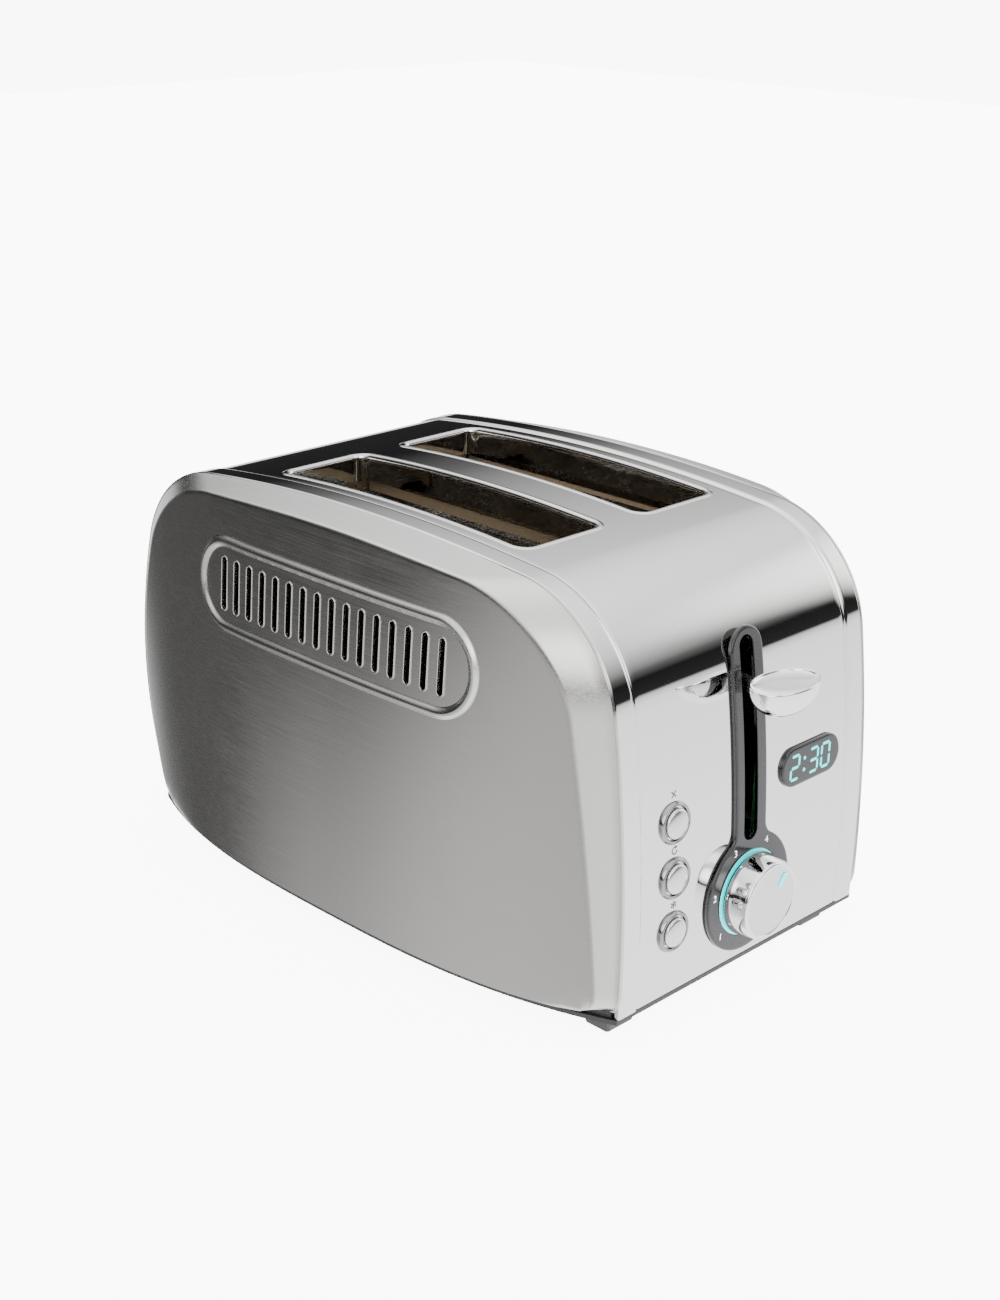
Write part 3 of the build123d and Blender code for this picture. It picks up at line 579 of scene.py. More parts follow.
def build_wrap():
    """Bent sheet with a sunk main panel, raised edges and bread slots cut through it."""
    s = shape()
    points, normals = side_outline(s.body_half, s.body_top, s.shoulder, s.metal_low, (30, 36, 40))
    columns = wrap_columns()
    verts = []
    for (y, z), (ny, nz) in zip(points, normals):
        for x, depth in columns:
            verts.append((x, s.middle + y - ny * depth, z - nz * depth))
    width = len(columns)
    rows = len(points)
    faces = grid_faces(rows, width)
    marks = [0] * len(faces)
    inner = len(verts)
    back = mm(1.95)
    low_side = [(columns[0][0], back)] + [(x, back) for x, _ in columns[1:-1]] + [(columns[-1][0], back)]
    for (y, z), (ny, nz) in zip(points, normals):
        for x, depth in low_side:
            verts.append((x, s.middle + y - ny * depth, z - nz * depth))
    lower = [tuple(reversed(f)) for f in grid_faces(rows, width, start=inner)]
    faces += lower
    marks += [1] * len(lower)
    for r in range(rows - 1):
        for c in (0, width - 1):
            a = r * width + c
            b = (r + 1) * width + c
            faces.append((a, b, inner + b, inner + a))
            marks.append(1)
    for c in range(width - 1):
        for r in (0, rows - 1):
            a = r * width + c
            faces.append((a, a + 1, inner + a + 1, inner + a))
            marks.append(1)
    steel = look("polished")
    wrap = new_piece("wrap", verts, faces, [steel, look("inner")], marks)
    whole = wrap.data.copy()
    cutters = []
    for sign in (-1, 1):
        outline = rounded_box(s.slot_width + mm(1.0), s.slot_length + mm(1.0), s.slot_corner + mm(0.5))
        place = Matrix.Translation((sign * s.slot_x, s.middle, 0))
        cutters.append(prism("slot_cutter", outline, place, s.body_top - mm(20), s.body_top + mm(20),
            [look("inner")]))
    lever = Matrix.Translation((0, s.middle - s.body_half, (s.slot_low + s.slot_high) / 2))
    lever = lever @ Matrix.Rotation(math.radians(90), 4, "X")
    tall = s.slot_high - s.slot_low + mm(2)
    outline = [(y, x) for x, y in stadium(tall, mm(11))]
    cutters.append(prism("lever_cutter", outline, lever, -mm(20), mm(20), [look("inner")]))
    rear = s.middle + s.body_half
    low = (-mm(52), rear - mm(8), s.metal_low - mm(5))
    high = (mm(52), rear + mm(5), mm(17.5))
    cutters.append(block("tray_cutter", low, high, [look("inner")]))
    cut(wrap, cutters)
    keep_shading(wrap, whole)
    return register_piece(wrap, HOUSING, "polished_wrap", "wrap_shell")


def build_slot_rims():
    """Rolled edges round the two bread slots, with a short collar going down."""
    s = shape()
    section = [(0.45, -11.0), (0.0, -10.8), (0.0, -2.2), (0.02, -1.2), (0.2, -0.45), (0.6, 0.05),
               (1.1, 0.30),
               (1.7, 0.36), (2.3, 0.28), (2.8, 0.12), (3.2, -0.04), (3.2, -0.5), (1.6, -0.7), (1.0, -1.4),
               (0.7, -2.6), (0.7, -10.8)]
    verts = []
    faces = []
    steps = 10
    for sign in (-1, 1):
        ring = []
        for d, h in section:
            outline = rounded_box(s.slot_width + mm(2 * d), s.slot_length + mm(2 * d),
                s.slot_corner + mm(d), steps, 14)
            row = []
            for x, y in outline:
                z = top_at(y, s.body_top) - s.panel_step + mm(h)
                row.append((sign * s.slot_x + x, s.middle + y, z))
            ring.append(row)
        start = len(verts)
        for row in ring:
            verts += row
        faces += grid_faces(len(section), len(ring[0]), closed_rows=True, closed_columns=True, start=start)
    rims = new_piece("slot_rims", verts, faces, [look("polished")])
    return register_piece(rims, HOUSING, "polished_wrap")


# ---- side pans ---------------------------------------------------------------
def pan_loops():
    """Loops of points over a side pan's skin, from the seam to the middle of its face."""
    s = shape()
    steps = (34, 30, 50)
    near, _ = side_outline(s.body_half, s.body_top, s.shoulder, s.metal_low, steps)
    far, _ = side_outline(s.body_half - s.rim_in, s.body_top - s.rim_drop, s.shoulder, s.metal_low, steps)
    lows = np.zeros(len(near))
    highs = np.ones(len(near))
    for _ in range(40):
        mids = (lows + highs) / 2
        spot = near + (far - near) * mids[:, None]
        outside = crown_at(spot[:, 0], spot[:, 1]) - (s.seam + s.rim_run * mids)
        lows = np.where(outside > 0, mids, lows)
        highs = np.where(outside > 0, highs, mids)
    crease = lows
    loops = []
    soft = 0.10
    for share in (0.0, 0.03, 0.3, 0.6, 0.8):
        t = crease * share * (1 - soft)
        spot = near + (far - near) * t[:, None]
        loops.append(np.column_stack([s.seam + s.rim_run * t, spot]))
    edge = near + (far - near) * crease[:, None]
    edge = np.column_stack([s.seam + s.rim_run * crease, edge])
    rim_side = near + (far - near) * (crease * (1 - soft))[:, None]
    rim_side = np.column_stack([s.seam + s.rim_run * crease * (1 - soft), rim_side])
    hub = np.column_stack([np.clip(edge[:, 1] * 0.72, -mm(68), mm(68)), np.full(len(edge), mm(74))])
    inward = hub - edge[:, 1:]
    inward /= np.linalg.norm(inward, axis=1)[:, None]
    inner = edge[:, 1:] + inward * mm(1.6)
    inner[0, 1] = inner[-1, 1] = s.metal_low
    spine = np.column_stack([np.clip(inner[:, 0] * 0.72, -mm(68), mm(68)), np.full(len(edge), mm(74))])
    crown_side = np.column_stack([crown_at(inner[:, 0], inner[:, 1]), inner])
    for t in np.linspace(0, 1, 7):
        loops.append((1 - t) ** 2 * rim_side + 2 * t * (1 - t) * edge + t**2 * crown_side)
    loops += crown_rows(inner, spine)
    middle = inner[np.abs(inner[:, 0]) < mm(95)]
    reach = inner[-1, 0]
    ends = np.linspace(reach, middle[-1, 0], 9)[:-1]
    across = np.concatenate([ends, middle[::-1, 0], -ends[::-1]])
    low = np.column_stack([across, np.full(len(across), s.metal_low)])
    low[0] = inner[-1]
    low[-1] = inner[0]
    low_spine = np.column_stack([np.clip(across * 0.72, -mm(68), mm(68)), np.full(len(across), mm(74))])
    foot = [np.column_stack([crown_at(low[:, 0], low[:, 1]), low])] + crown_rows(low, low_spine)
    return loops, foot


def crown_rows(edge, spine):
    """Rows over a crowned face from its edge to its middle line."""
    rows = []
    for share in (0.02, 0.05, 0.1, 0.17, 0.25, 0.34, 0.44, 0.55, 0.67, 0.79, 0.90, 1.0):
        spot = edge + (spine - edge) * share
        rows.append(np.column_stack([crown_at(spot[:, 0], spot[:, 1]), spot]))
    return rows


def draw_in_corners(points):
    """Rounds the pan's lower front and rear corners."""
    s = shape()
    radius = mm(10)
    for p in points:
        rise = p[2] - s.metal_low
        if rise < radius and abs(p[1]) > mm(60):
            pull = radius - math.sqrt(radius**2 - (radius - rise) ** 2)
            weight = (abs(p[1]) - mm(60)) / (s.body_half - mm(60))
            p[1] -= math.copysign(pull * weight**3, p[1])
    return points


def build_side_pan(sign):
    """Crowned pan with a slanted rim and a row of vents."""
    s = shape()
    name = "left" if sign < 0 else "right"
    loops, foot = pan_loops()
    loops = [draw_in_corners(loop.copy()) for loop in loops]
    foot = [draw_in_corners(row.copy()) for row in foot]
    count = len(loops[0])
    thick = s.sheet
    seam_edge = loops[0].copy()
    seam_edge[:, 0] = s.seam + mm(0.36)
    loops[0] = seam_edge
    verts = []
    for loop in loops:
        for x, y, z in loop:
            verts.append((sign * x, s.middle + y, z))
    rows = len(loops)
    faces = grid_faces(rows, count)
    marks = [0] * len(faces)
    start = len(verts)
    for row in foot:
        verts += [(sign * x, s.middle + y, z) for x, y, z in row]
    lower = grid_faces(len(foot), len(foot[0]), start=start)
    faces += lower
    marks += [0] * len(lower)
    pan = new_piece(name + "_pan", verts, faces, [look("brushed"), look("inner")], marks)
    close_bottom(pan)
    solid = pan.modifiers.new("sheet", "SOLIDIFY")
    solid.thickness = thick
    solid.offset = -1
    solid.material_offset = 1
    solid.material_offset_rim = 1
    mesh = bpy.data.meshes.new_from_object(pan.evaluated_get(bpy.context.evaluated_depsgraph_get()))
    pan.modifiers.clear()
    pan.data = mesh
    whole = mesh.copy()
    cutter = vent_row(name, sign, "cutter")
    cut(pan, [cutter])
    keep_shading(pan, whole)
    register_piece(pan, HOUSING, "brushed_side", name + "_side_panel")
    return pan


def close_bottom(pan):
    """Merges doubled points and dissolves degenerate edges of the pan's skin."""
    work = bmesh.new()
    work.from_mesh(pan.data)
    bmesh.ops.remove_doubles(work, verts=work.verts, dist=1e-6)
    bmesh.ops.dissolve_degenerate(work, edges=work.edges, dist=1e-7)
    work.to_mesh(pan.data)
    work.free()


def bead_section():
    """Across the bead: offset from its centre line and lift off the face."""
    s = shape()
    half = s.bead_width / 2
    section = []
    for d in np.linspace(-half, half, 15):
        section.append((d, s.bead_proud * math.cos(math.pi / 2 * d / half) ** 1.4 - mm(0.06)))
    section.append((half - mm(0.6), -mm(0.5)))
    section.append((-half + mm(0.6), -mm(0.5)))
    return section


def build_bead(sign):
    """Raised racetrack round the vents."""
    s = shape()
    name = "left" if sign < 0 else "right"
    rows = []
    for d, lift in bead_section():
        long = s.bead_long - s.bead_width + 2 * d
        tall = s.bead_tall - s.bead_width + 2 * d
        row = []
        outline = stadium(long, tall, 28)
        dense = []
        for number, point in enumerate(outline):
            dense.append(point)
            after = outline[(number + 1) % len(outline)]
            if abs(after[0] - point[0]) > mm(30):
                dense += [(point[0] + (after[0] - point[0]) * k / 24, point[1]) for k in range(1, 24)]
        for y, z in dense:
            x = crown_at(y, z + s.bead_z) + lift
            row.append((sign * x, s.middle + y, z + s.bead_z))
        rows.append(row)
    verts = [v for row in rows for v in row]
    faces = grid_faces(len(rows), len(rows[0]), closed_rows=True, closed_columns=True)
    bead = new_piece(name + "_bead", verts, faces, [look("brushed")])
    return register_piece(bead, HOUSING, "brushed_side")


def vent_nodes():
    """Geometry nodes: a row of upright slots on a curved face, as plugs or as thin lips."""
    known = bpy.data.node_groups.get("vent_row")
    if known:
        return known
    group = bpy.data.node_groups.new("vent_row", "GeometryNodeTree")
    face = group.interface
    face.new_socket(name="Geometry", in_out="OUTPUT", socket_type="NodeSocketGeometry")
    for label, kind in (("Count", "NodeSocketInt"), ("Pitch", "NodeSocketFloat"),
                        ("Height", "NodeSocketFloat"),
                        ("Width", "NodeSocketFloat"), ("Lip", "NodeSocketFloat"),
                        ("Depth", "NodeSocketFloat"),
                        ("Curve Half", "NodeSocketFloat"), ("Curve Bulge", "NodeSocketFloat"),
                        ("Curve Power", "NodeSocketFloat"), ("Lean", "NodeSocketFloat"),
                        ("Side", "NodeSocketFloat"), ("Material", "NodeSocketMaterial")):
        face.new_socket(name=label, in_out="INPUT", socket_type=kind)
    nodes = group.nodes
    links = group.links
    start = nodes.new("NodeGroupInput")
    end = nodes.new("NodeGroupOutput")

    def math_node(operation, *values):
        node = nodes.new("ShaderNodeMath")
        node.operation = operation
        for number, value in enumerate(values):
            if isinstance(value, (int, float)):
                node.inputs[number].default_value = value
            else:
                links.new(value, node.inputs[number])
        return node.outputs[0]

    line = nodes.new("GeometryNodeMeshLine")
    line.mode = "OFFSET"
    gap = nodes.new("ShaderNodeCombineXYZ")
    links.new(start.outputs["Pitch"], gap.inputs["Y"])
    first = nodes.new("ShaderNodeCombineXYZ")
    span = math_node("MULTIPLY", start.outputs["Pitch"], math_node("SUBTRACT", start.outputs["Count"], 1))
    links.new(math_node("MULTIPLY", span, -0.5), first.inputs["Y"])
    links.new(start.outputs["Count"], line.inputs["Count"])
    links.new(first.outputs[0], line.inputs["Start Location"])
    links.new(gap.outputs[0], line.inputs["Offset"])
    place = nodes.new("GeometryNodeInputPosition")
    split = nodes.new("ShaderNodeSeparateXYZ")
    links.new(place.outputs[0], split.inputs[0])
    ratio = math_node("DIVIDE", math_node("ABSOLUTE", split.outputs["Y"]), start.outputs["Curve Half"])
    drop = math_node("MULTIPLY", math_node("POWER", ratio, start.outputs["Curve Power"]),
        start.outputs["Curve Bulge"])
    shift = nodes.new("ShaderNodeCombineXYZ")
    links.new(math_node("MULTIPLY", math_node("MULTIPLY", drop, -1.0), start.outputs["Side"]),
        shift.inputs["X"])
    moved = nodes.new("GeometryNodeSetPosition")
    links.new(line.outputs["Mesh"], moved.inputs["Geometry"])
    links.new(shift.outputs[0], moved.inputs["Offset"])
    frame_curve = nodes.new("GeometryNodeCurvePrimitiveQuadrilateral")
    links.new(start.outputs["Width"], frame_curve.inputs["Width"])
    links.new(start.outputs["Height"], frame_curve.inputs["Height"])
    round_ends = nodes.new("GeometryNodeFilletCurve")
    round_ends.mode = "POLY"
    round_ends.inputs["Count"].default_value = 10
    links.new(frame_curve.outputs[0], round_ends.inputs["Curve"])
    links.new(math_node("MULTIPLY", start.outputs["Width"], 0.499), round_ends.inputs["Radius"])
    lip = nodes.new("GeometryNodeCurvePrimitiveCircle")
    lip.inputs["Resolution"].default_value = 10
    links.new(start.outputs["Lip"], lip.inputs["Radius"])
    tube = nodes.new("GeometryNodeCurveToMesh")
    links.new(round_ends.outputs[0], tube.inputs["Curve"])
    links.new(lip.outputs[0], tube.inputs["Profile Curve"])
    filled = nodes.new("GeometryNodeFillCurve")
    filled.mode = "NGONS"
    links.new(round_ends.outputs[0], filled.inputs["Curve"])
    thick = nodes.new("GeometryNodeExtrudeMesh")
    thick.inputs["Individual"].default_value = False
    up = nodes.new("ShaderNodeCombineXYZ")
    links.new(start.outputs["Depth"], up.inputs["Z"])
    links.new(filled.outputs[0], thick.inputs["Mesh"])
    links.new(up.outputs[0], thick.inputs["Offset"])
    turned_cap = nodes.new("GeometryNodeFlipFaces")
    links.new(filled.outputs[0], turned_cap.inputs["Mesh"])
    plug = nodes.new("GeometryNodeJoinGeometry")
    links.new(thick.outputs["Mesh"], plug.inputs[0])
    links.new(turned_cap.outputs[0], plug.inputs[0])
    sunk = nodes.new("GeometryNodeTransform")
    down = nodes.new("ShaderNodeCombineXYZ")
    links.new(math_node("MULTIPLY", start.outputs["Depth"], -0.5), down.inputs["Z"])
    links.new(plug.outputs[0], sunk.inputs["Geometry"])
    links.new(down.outputs[0], sunk.inputs["Translation"])
    choose = nodes.new("GeometryNodeSwitch")
    choose.input_type = "GEOMETRY"
    is_plug = nodes.new("FunctionNodeCompare")
    is_plug.operation = "GREATER_THAN"
    links.new(start.outputs["Depth"], is_plug.inputs["A"])
    links.new(is_plug.outputs[0], choose.inputs["Switch"])
    links.new(tube.outputs["Mesh"], choose.inputs["False"])
    links.new(sunk.outputs[0], choose.inputs["True"])
    spread = nodes.new("GeometryNodeInstanceOnPoints")
    turn = nodes.new("ShaderNodeCombineXYZ")
    turn.inputs["Z"].default_value = math.pi / 2
    links.new(math_node("ADD", math_node("MULTIPLY", start.outputs["Lean"], -1.0), math.pi / 2),
        turn.inputs["X"])
    links.new(moved.outputs[0], spread.inputs["Points"])
    links.new(choose.outputs[0], spread.inputs["Instance"])
    links.new(turn.outputs[0], spread.inputs["Rotation"])
    real = nodes.new("GeometryNodeRealizeInstances")
    links.new(spread.outputs[0], real.inputs[0])
    merged = nodes.new("GeometryNodeMergeByDistance")
    merged.inputs["Distance"].default_value = 1e-6
    links.new(real.outputs[0], merged.inputs["Geometry"])
    finish_look = nodes.new("GeometryNodeSetMaterial")
    links.new(merged.outputs[0], finish_look.inputs["Geometry"])
    links.new(start.outputs["Material"], finish_look.inputs["Material"])
    links.new(finish_look.outputs[0], end.inputs["Geometry"])
    return group


def vent_row(name, sign, kind):
    """The vents of one side as a mesh: plugs to cut with, or pressed lips."""
    s = shape()
    lean = math.atan2(
        float(crown_at(0.0, s.bead_z - mm(8)) - crown_at(0.0, s.bead_z + mm(8))), mm(16))
    bulge = float(crown_at(0.0, s.bead_z) - crown_at(s.body_half + mm(1.0), s.bead_z))
    holder = bpy.data.objects.new(name + "_" + kind, bpy.data.meshes.new(name + "_" + kind))
    bpy.context.scene.collection.objects.link(holder)
    step = holder.modifiers.new("vents", "NODES")
    step.node_group = vent_nodes()
    wide = s.vent_wide if kind == "cutter" else s.vent_wide + mm(0.5)
    tall = s.vent_tall if kind == "cutter" else s.vent_tall + mm(0.5)
    values = {"Count": s.vent_count, "Pitch": s.vent_pitch, "Height": tall, "Width": wide, "Lip": mm(0.34),
              "Depth": mm(14) if kind == "cutter" else 0.0, "Curve Half": s.body_half + mm(1.0),
              "Curve Bulge": bulge, "Curve Power": s.side_power, "Lean": lean * sign, "Side": float(sign),
              "Material": look("shade") if kind == "cutter" else look("brushed")}
    for item in step.node_group.interface.items_tree:
        if item.in_out == "INPUT" and item.name in values:
            step[item.identifier] = values[item.name]
    bpy.context.view_layer.update()
    made = holder.evaluated_get(bpy.context.evaluated_depsgraph_get())
    mesh = bpy.data.meshes.new_from_object(made)
    holder.modifiers.clear()
    holder.data = mesh
    mesh.transform(Matrix.Translation((sign * float(crown_at(0.0, s.bead_z)), s.middle, s.bead_z)))
    tidy_mesh(holder)
    return holder


def build_vent_lips(sign):
    """Pressed lips round the vents."""
    name = "left" if sign < 0 else "right"
    lips = vent_row(name, sign, "vent_lips")
    return register_piece(lips, HOUSING, "brushed_side")


# ---- controls ----------------------------------------------------------------
def both_sides(right):
    """A closed outline from its right half, bottom to top."""
    return right + [(-x, z) for x, z in reversed(right[1:-1])]


def lollipop(inset):
    """Outline of the bezel: a stem that runs into a disc, drawn in by inset."""
    s = shape()
    disc = s.dial_radius - inset
    stem = s.stem_half - inset
    bend = mm(7) + inset
    hub_x = stem + bend
    hub_z = math.sqrt((disc + bend) ** 2 - hub_x**2)
    angle = math.atan2(hub_z, hub_x)
    top = s.stem_top - s.stem_half - s.dial_z
    right = []
    for a in np.linspace(-math.pi / 2, angle, 60, endpoint=False):
        right.append((disc * math.cos(a), disc * math.sin(a)))
    for a in np.linspace(math.pi + angle, math.pi, 10, endpoint=False):
        right.append((hub_x + bend * math.cos(a), hub_z + bend * math.sin(a)))
    for z in np.linspace(hub_z, top, 24, endpoint=False):
        right.append((stem, z))
    for a in np.linspace(0, math.pi / 2, 14):
        right.append((stem * math.cos(a), top + stem * math.sin(a)))
    right[0] = (0.0, right[0][1])
    right[-1] = (0.0, right[-1][1])
    return both_sides([(x, z + s.dial_z) for x, z in right])


def slot_outline(grow):
    """Outline of the lever slot, upright."""
    s = shape()
    radius = mm(3.8) + grow
    low = s.slot_low + mm(3.8)
    high = s.slot_high - mm(3.8)
    right = [(radius * math.cos(a), low + radius * math.sin(a)) for a in np.linspace(-math.pi / 2, 0, 10)]
    right += [(radius, z) for z in np.linspace(low, high, 24)[1:-1]]
    right += [(radius * math.cos(a), high + radius * math.sin(a)) for a in np.linspace(0, math.pi / 2, 10)]
    right[0] = (0.0, right[0][1])
    right[-1] = (0.0, right[-1][1])
    return both_sides(right)


def strip_cap(count, start):
    """Faces that close a symmetric outline in level strips."""
    half = count // 2
    mirror = [start + (count - i) % count for i in range(half + 1)]
    faces = [(start, start + 1, mirror[1])]
    for i in range(1, half - 1):
        faces.append((start + i, start + i + 1, mirror[i + 1], mirror[i]))
    faces.append((start + half - 1, start + half, mirror[half - 1]))
    return faces


def front_loft(name, layers, materials):
    """Closed solid from symmetric outlines on the front face; layers are (outline, lift)."""
    verts = []
    for outline, lift in layers:
        verts += [front_point(x, z, lift) for x, z in outline]
    count = len(layers[0][0])
    faces = grid_faces(len(layers), count, closed_columns=True)
    faces += [tuple(reversed(f)) for f in strip_cap(count, 0)]
    faces += strip_cap(count, len(verts) - count)
    return new_piece(name, verts, faces, materials)


def build_bezel():
    """Black trim with the lever slot and the disc round the dial."""
    s = shape()
    edge = [(0.0, -0.75), (0.0, 0.35), (0.12, 0.65), (0.4, 0.88), (0.8, 0.98), (1.4, 1.0)]
    layers = [(lollipop(mm(d)), mm(h)) for d, h in edge]
    bezel = front_loft("bezel", layers, [look("black")])
    whole = bezel.data.copy()
    mouth = [(0.0, -3.0), (0.0, 0.1), (0.25, 0.55), (0.9, 0.85), (1.9, 1.02), (2.6, 1.6)]
    slot = front_loft("slot_mouth", [(slot_outline(mm(d)), mm(h)) for d, h in mouth], [look("black")])
    slot.data.materials[0] = look("moulded")
    dial = front_plane(0, s.dial_z, 0)
    dish = [(0, 4.0), (17.7, 4.0), (17.7, 0.55), (17.5, 0.3), (14.6, 0.3), (14.4, -0.15), (0, -0.2)]
    recess = turned("recess", [(mm(r), mm(h)) for r, h in dish], dial, [look("black")])
    cut(bezel, [slot, recess])
    keep_shading(bezel, whole)
    return register_piece(bezel, HOUSING, "gloss_black", "control_bezel")


def build_dial_ring():
    """Lit ring round the dial."""
    s = shape()
    section = [(17.35, 0.1), (17.35, 0.75), (17.2, 0.92), (16.9, 1.0), (15.5, 1.0), (15.2, 0.92),
        (15.05, 0.75), (15.05, 0.1)]
    ring = turned_ring("dial_ring", [(mm(r), mm(h)) for r, h in section], front_plane(0, s.dial_z, 0),
        [look("teal")])
    return register_piece(ring, HOUSING, "teal_light", "dial_light_ring")


def flat_text(name, body, size, x, z, lift, material, turn=0.0):
    """Thin raised numerals on the front face."""
    curve = bpy.data.curves.new(name, "FONT")
    curve.body = body
    curve.size = size
    curve.align_x = "CENTER"
    curve.align_y = "CENTER"
    curve.extrude = mm(0.03)
    curve.resolution_u = 6
    holder = bpy.data.objects.new(name, curve)
    bpy.context.scene.collection.objects.link(holder)
    mesh = bpy.data.meshes.new_from_object(holder.evaluated_get(bpy.context.evaluated_depsgraph_get()))
    bpy.data.objects.remove(holder, do_unlink=True)
    mesh.transform(front_plane(x, z, lift) @ Matrix.Rotation(math.radians(turn), 4, "Z"))
    mesh.materials.clear()
    mesh.materials.append(material)
    return mesh


def join_meshes(name, meshes, materials):
    """One object out of several meshes."""
    work = bmesh.new()
    for mesh in meshes:
        work.from_mesh(mesh)
    mesh = bpy.data.meshes.new(name)
    work.to_mesh(mesh)
    work.free()
    for material in materials:
        mesh.materials.append(material)
    obj = bpy.data.objects.new(name, mesh)
    bpy.context.scene.collection.objects.link(obj)
    tidy_mesh(obj)
    return obj


def build_dial_numbers():
    """Browning numbers round the dial."""
    s = shape()
    meshes = []
    radius = mm(20.9)
    for number in range(1, 7):
        a = math.radians(-131 + 52.4 * (number - 1))
        x = radius * math.sin(a)
        z = s.dial_z + radius * math.cos(a)
        meshes.append(flat_text("number", str(number), mm(4.0), x, z, mm(1.02), look("print")))
    numbers = join_meshes("dial_numbers", meshes, [look("print")])
    return register_piece(numbers, HOUSING, "gloss_black")


def build_knob():
    """Chrome cup with a satin face and a lit pointer, on its shaft."""
    s = shape()
    face = s.knob_front
    place = Matrix.Translation((0, s.middle, s.dial_z)) @ Matrix.Rotation(math.radians(90), 4, "X")
    r = s.knob_radius * 1000
    f = face * 1000
    profile = [(0, 141.5), (13.8, 141.5), (13.8, 139.3), (r - 0.9, 139.3), (r - 0.35, 139.45), (r, 139.9),
               (r, 140.6), (r - 0.35, 143.4), (r - 0.7, 146.3), (r - 0.95, f - 1.1), (r - 1.05, f - 0.6),
               (r - 1.3, f - 0.22), (r - 1.7, f - 0.03), (r - 2.2, f), (r - 2.6, f - 0.06),
               (r - 2.85, f - 0.3),
               (r - 3.1, f - 0.36), (r - 5, f - 0.30), (r - 9, f - 0.2), (r - 13, f - 0.14), (0, f - 0.13)]
    marks = [0] * 15 + [1] * (len(profile) - 16)
    knob = turned("knob", [(mm(a), mm(b)) for a, b in profile], place, [look("chrome"), look("satin")],
        marks, 128)
    register_piece(knob, "browning_dial", "chrome_trim", "browning_knob")
    turn = math.radians(40)
    spot = Vector((mm(9) * math.sin(turn), mm(9) * math.cos(turn)))
    outline = [(spot.x + x * math.cos(-turn) - y * math.sin(-turn),
               spot.y + x * math.sin(-turn) + y * math.cos(-turn))
               for y, x in stadium(mm(6.6), mm(2.6))]
    pointer = prism("pointer", outline, place, face - mm(0.5), face + mm(0.08), [look("teal")])
    register_piece(pointer, "browning_dial", "teal_light", "knob_pointer")
    return knob


def build_lever():
    """Oval chrome paddle with a dished top and a rounded bowl under it."""
    s = shape()
    place = Matrix.Translation((0, s.middle - s.lever_y, s.lever_z))
    profile = [(0, -1.0)]
    for a in np.linspace(0, math.pi / 2, 22):
        profile.append((0.02 + 0.98 * math.sin(a), -math.cos(a)))
    profile[0] = (0, -1.0)
    rim = [(0.995, 0.03), (0.975, 0.055), (0.95, 0.05), (0.935, 0.02), (0.925, -0.02), (0.85, -0.05),
           (0.6, -0.085),
           (0.3, -0.10), (0, -0.105)]
    profile += rim
    deep = s.lever_bowl
    knob = turned("lever_paddle", [(r, h * deep) for r, h in profile], place, [look("chrome")], None, 96,
                  (s.lever_long, s.lever_deep))
    knob.data.set_sharp_from_angle(angle=math.radians(60))
    return register_piece(knob, "lever_carriage", "chrome_trim", "lever_knob")


def build_buttons():
    """Three domed keys in bevelled rings."""
    s = shape()
    for row, name in enumerate(("defrost", "reheat", "cancel")):
        z = s.button_low + row * s.button_pitch
        place = front_plane(s.button_x, z, 0)
        section = [(7.0, -1.9), (7.1, -0.66), (8.15, -0.66), (8.2, -0.45), (8.1, -0.2), (7.85, 0.25),
                   (7.6, 0.6),
                   (7.35, 0.8), (7.1, 0.86), (6.85, 0.78), (6.6, 0.5), (6.35, 0.0), (6.3, -0.5), (6.3, -1.9)]
        ring = turned_ring(name + "_bevel", [(mm(a), mm(b)) for a, b in section], place, [look("smoked")])
        register_piece(ring, HOUSING, "dark_chrome", name + "_ring")
        dome = [(0, -2.9), (2.2, -2.9), (2.2, -0.4), (5.4, -0.4), (5.7, -0.2), (5.8, 0.2), (5.8, 0.6),
                (5.74, 0.95),
                (5.55, 1.25), (5.2, 1.5), (4.6, 1.74), (3.7, 1.98), (2.5, 2.18), (1.2, 2.28), (0, 2.32)]
        cap = turned(name + "_cap", [(mm(a), mm(b)) for a, b in dome], place, [look("satin")])
        register_piece(cap, name + "_key", "satin_cap", name + "_button")


def stroke(start, end, wide):
    """A thin straight mark between two points of a plane."""
    a = Vector(start)
    b = Vector(end)
    side = (b - a).orthogonal().normalized() * wide / 2
    return [tuple(a + side), tuple(a - side), tuple(b - side), tuple(b + side)]


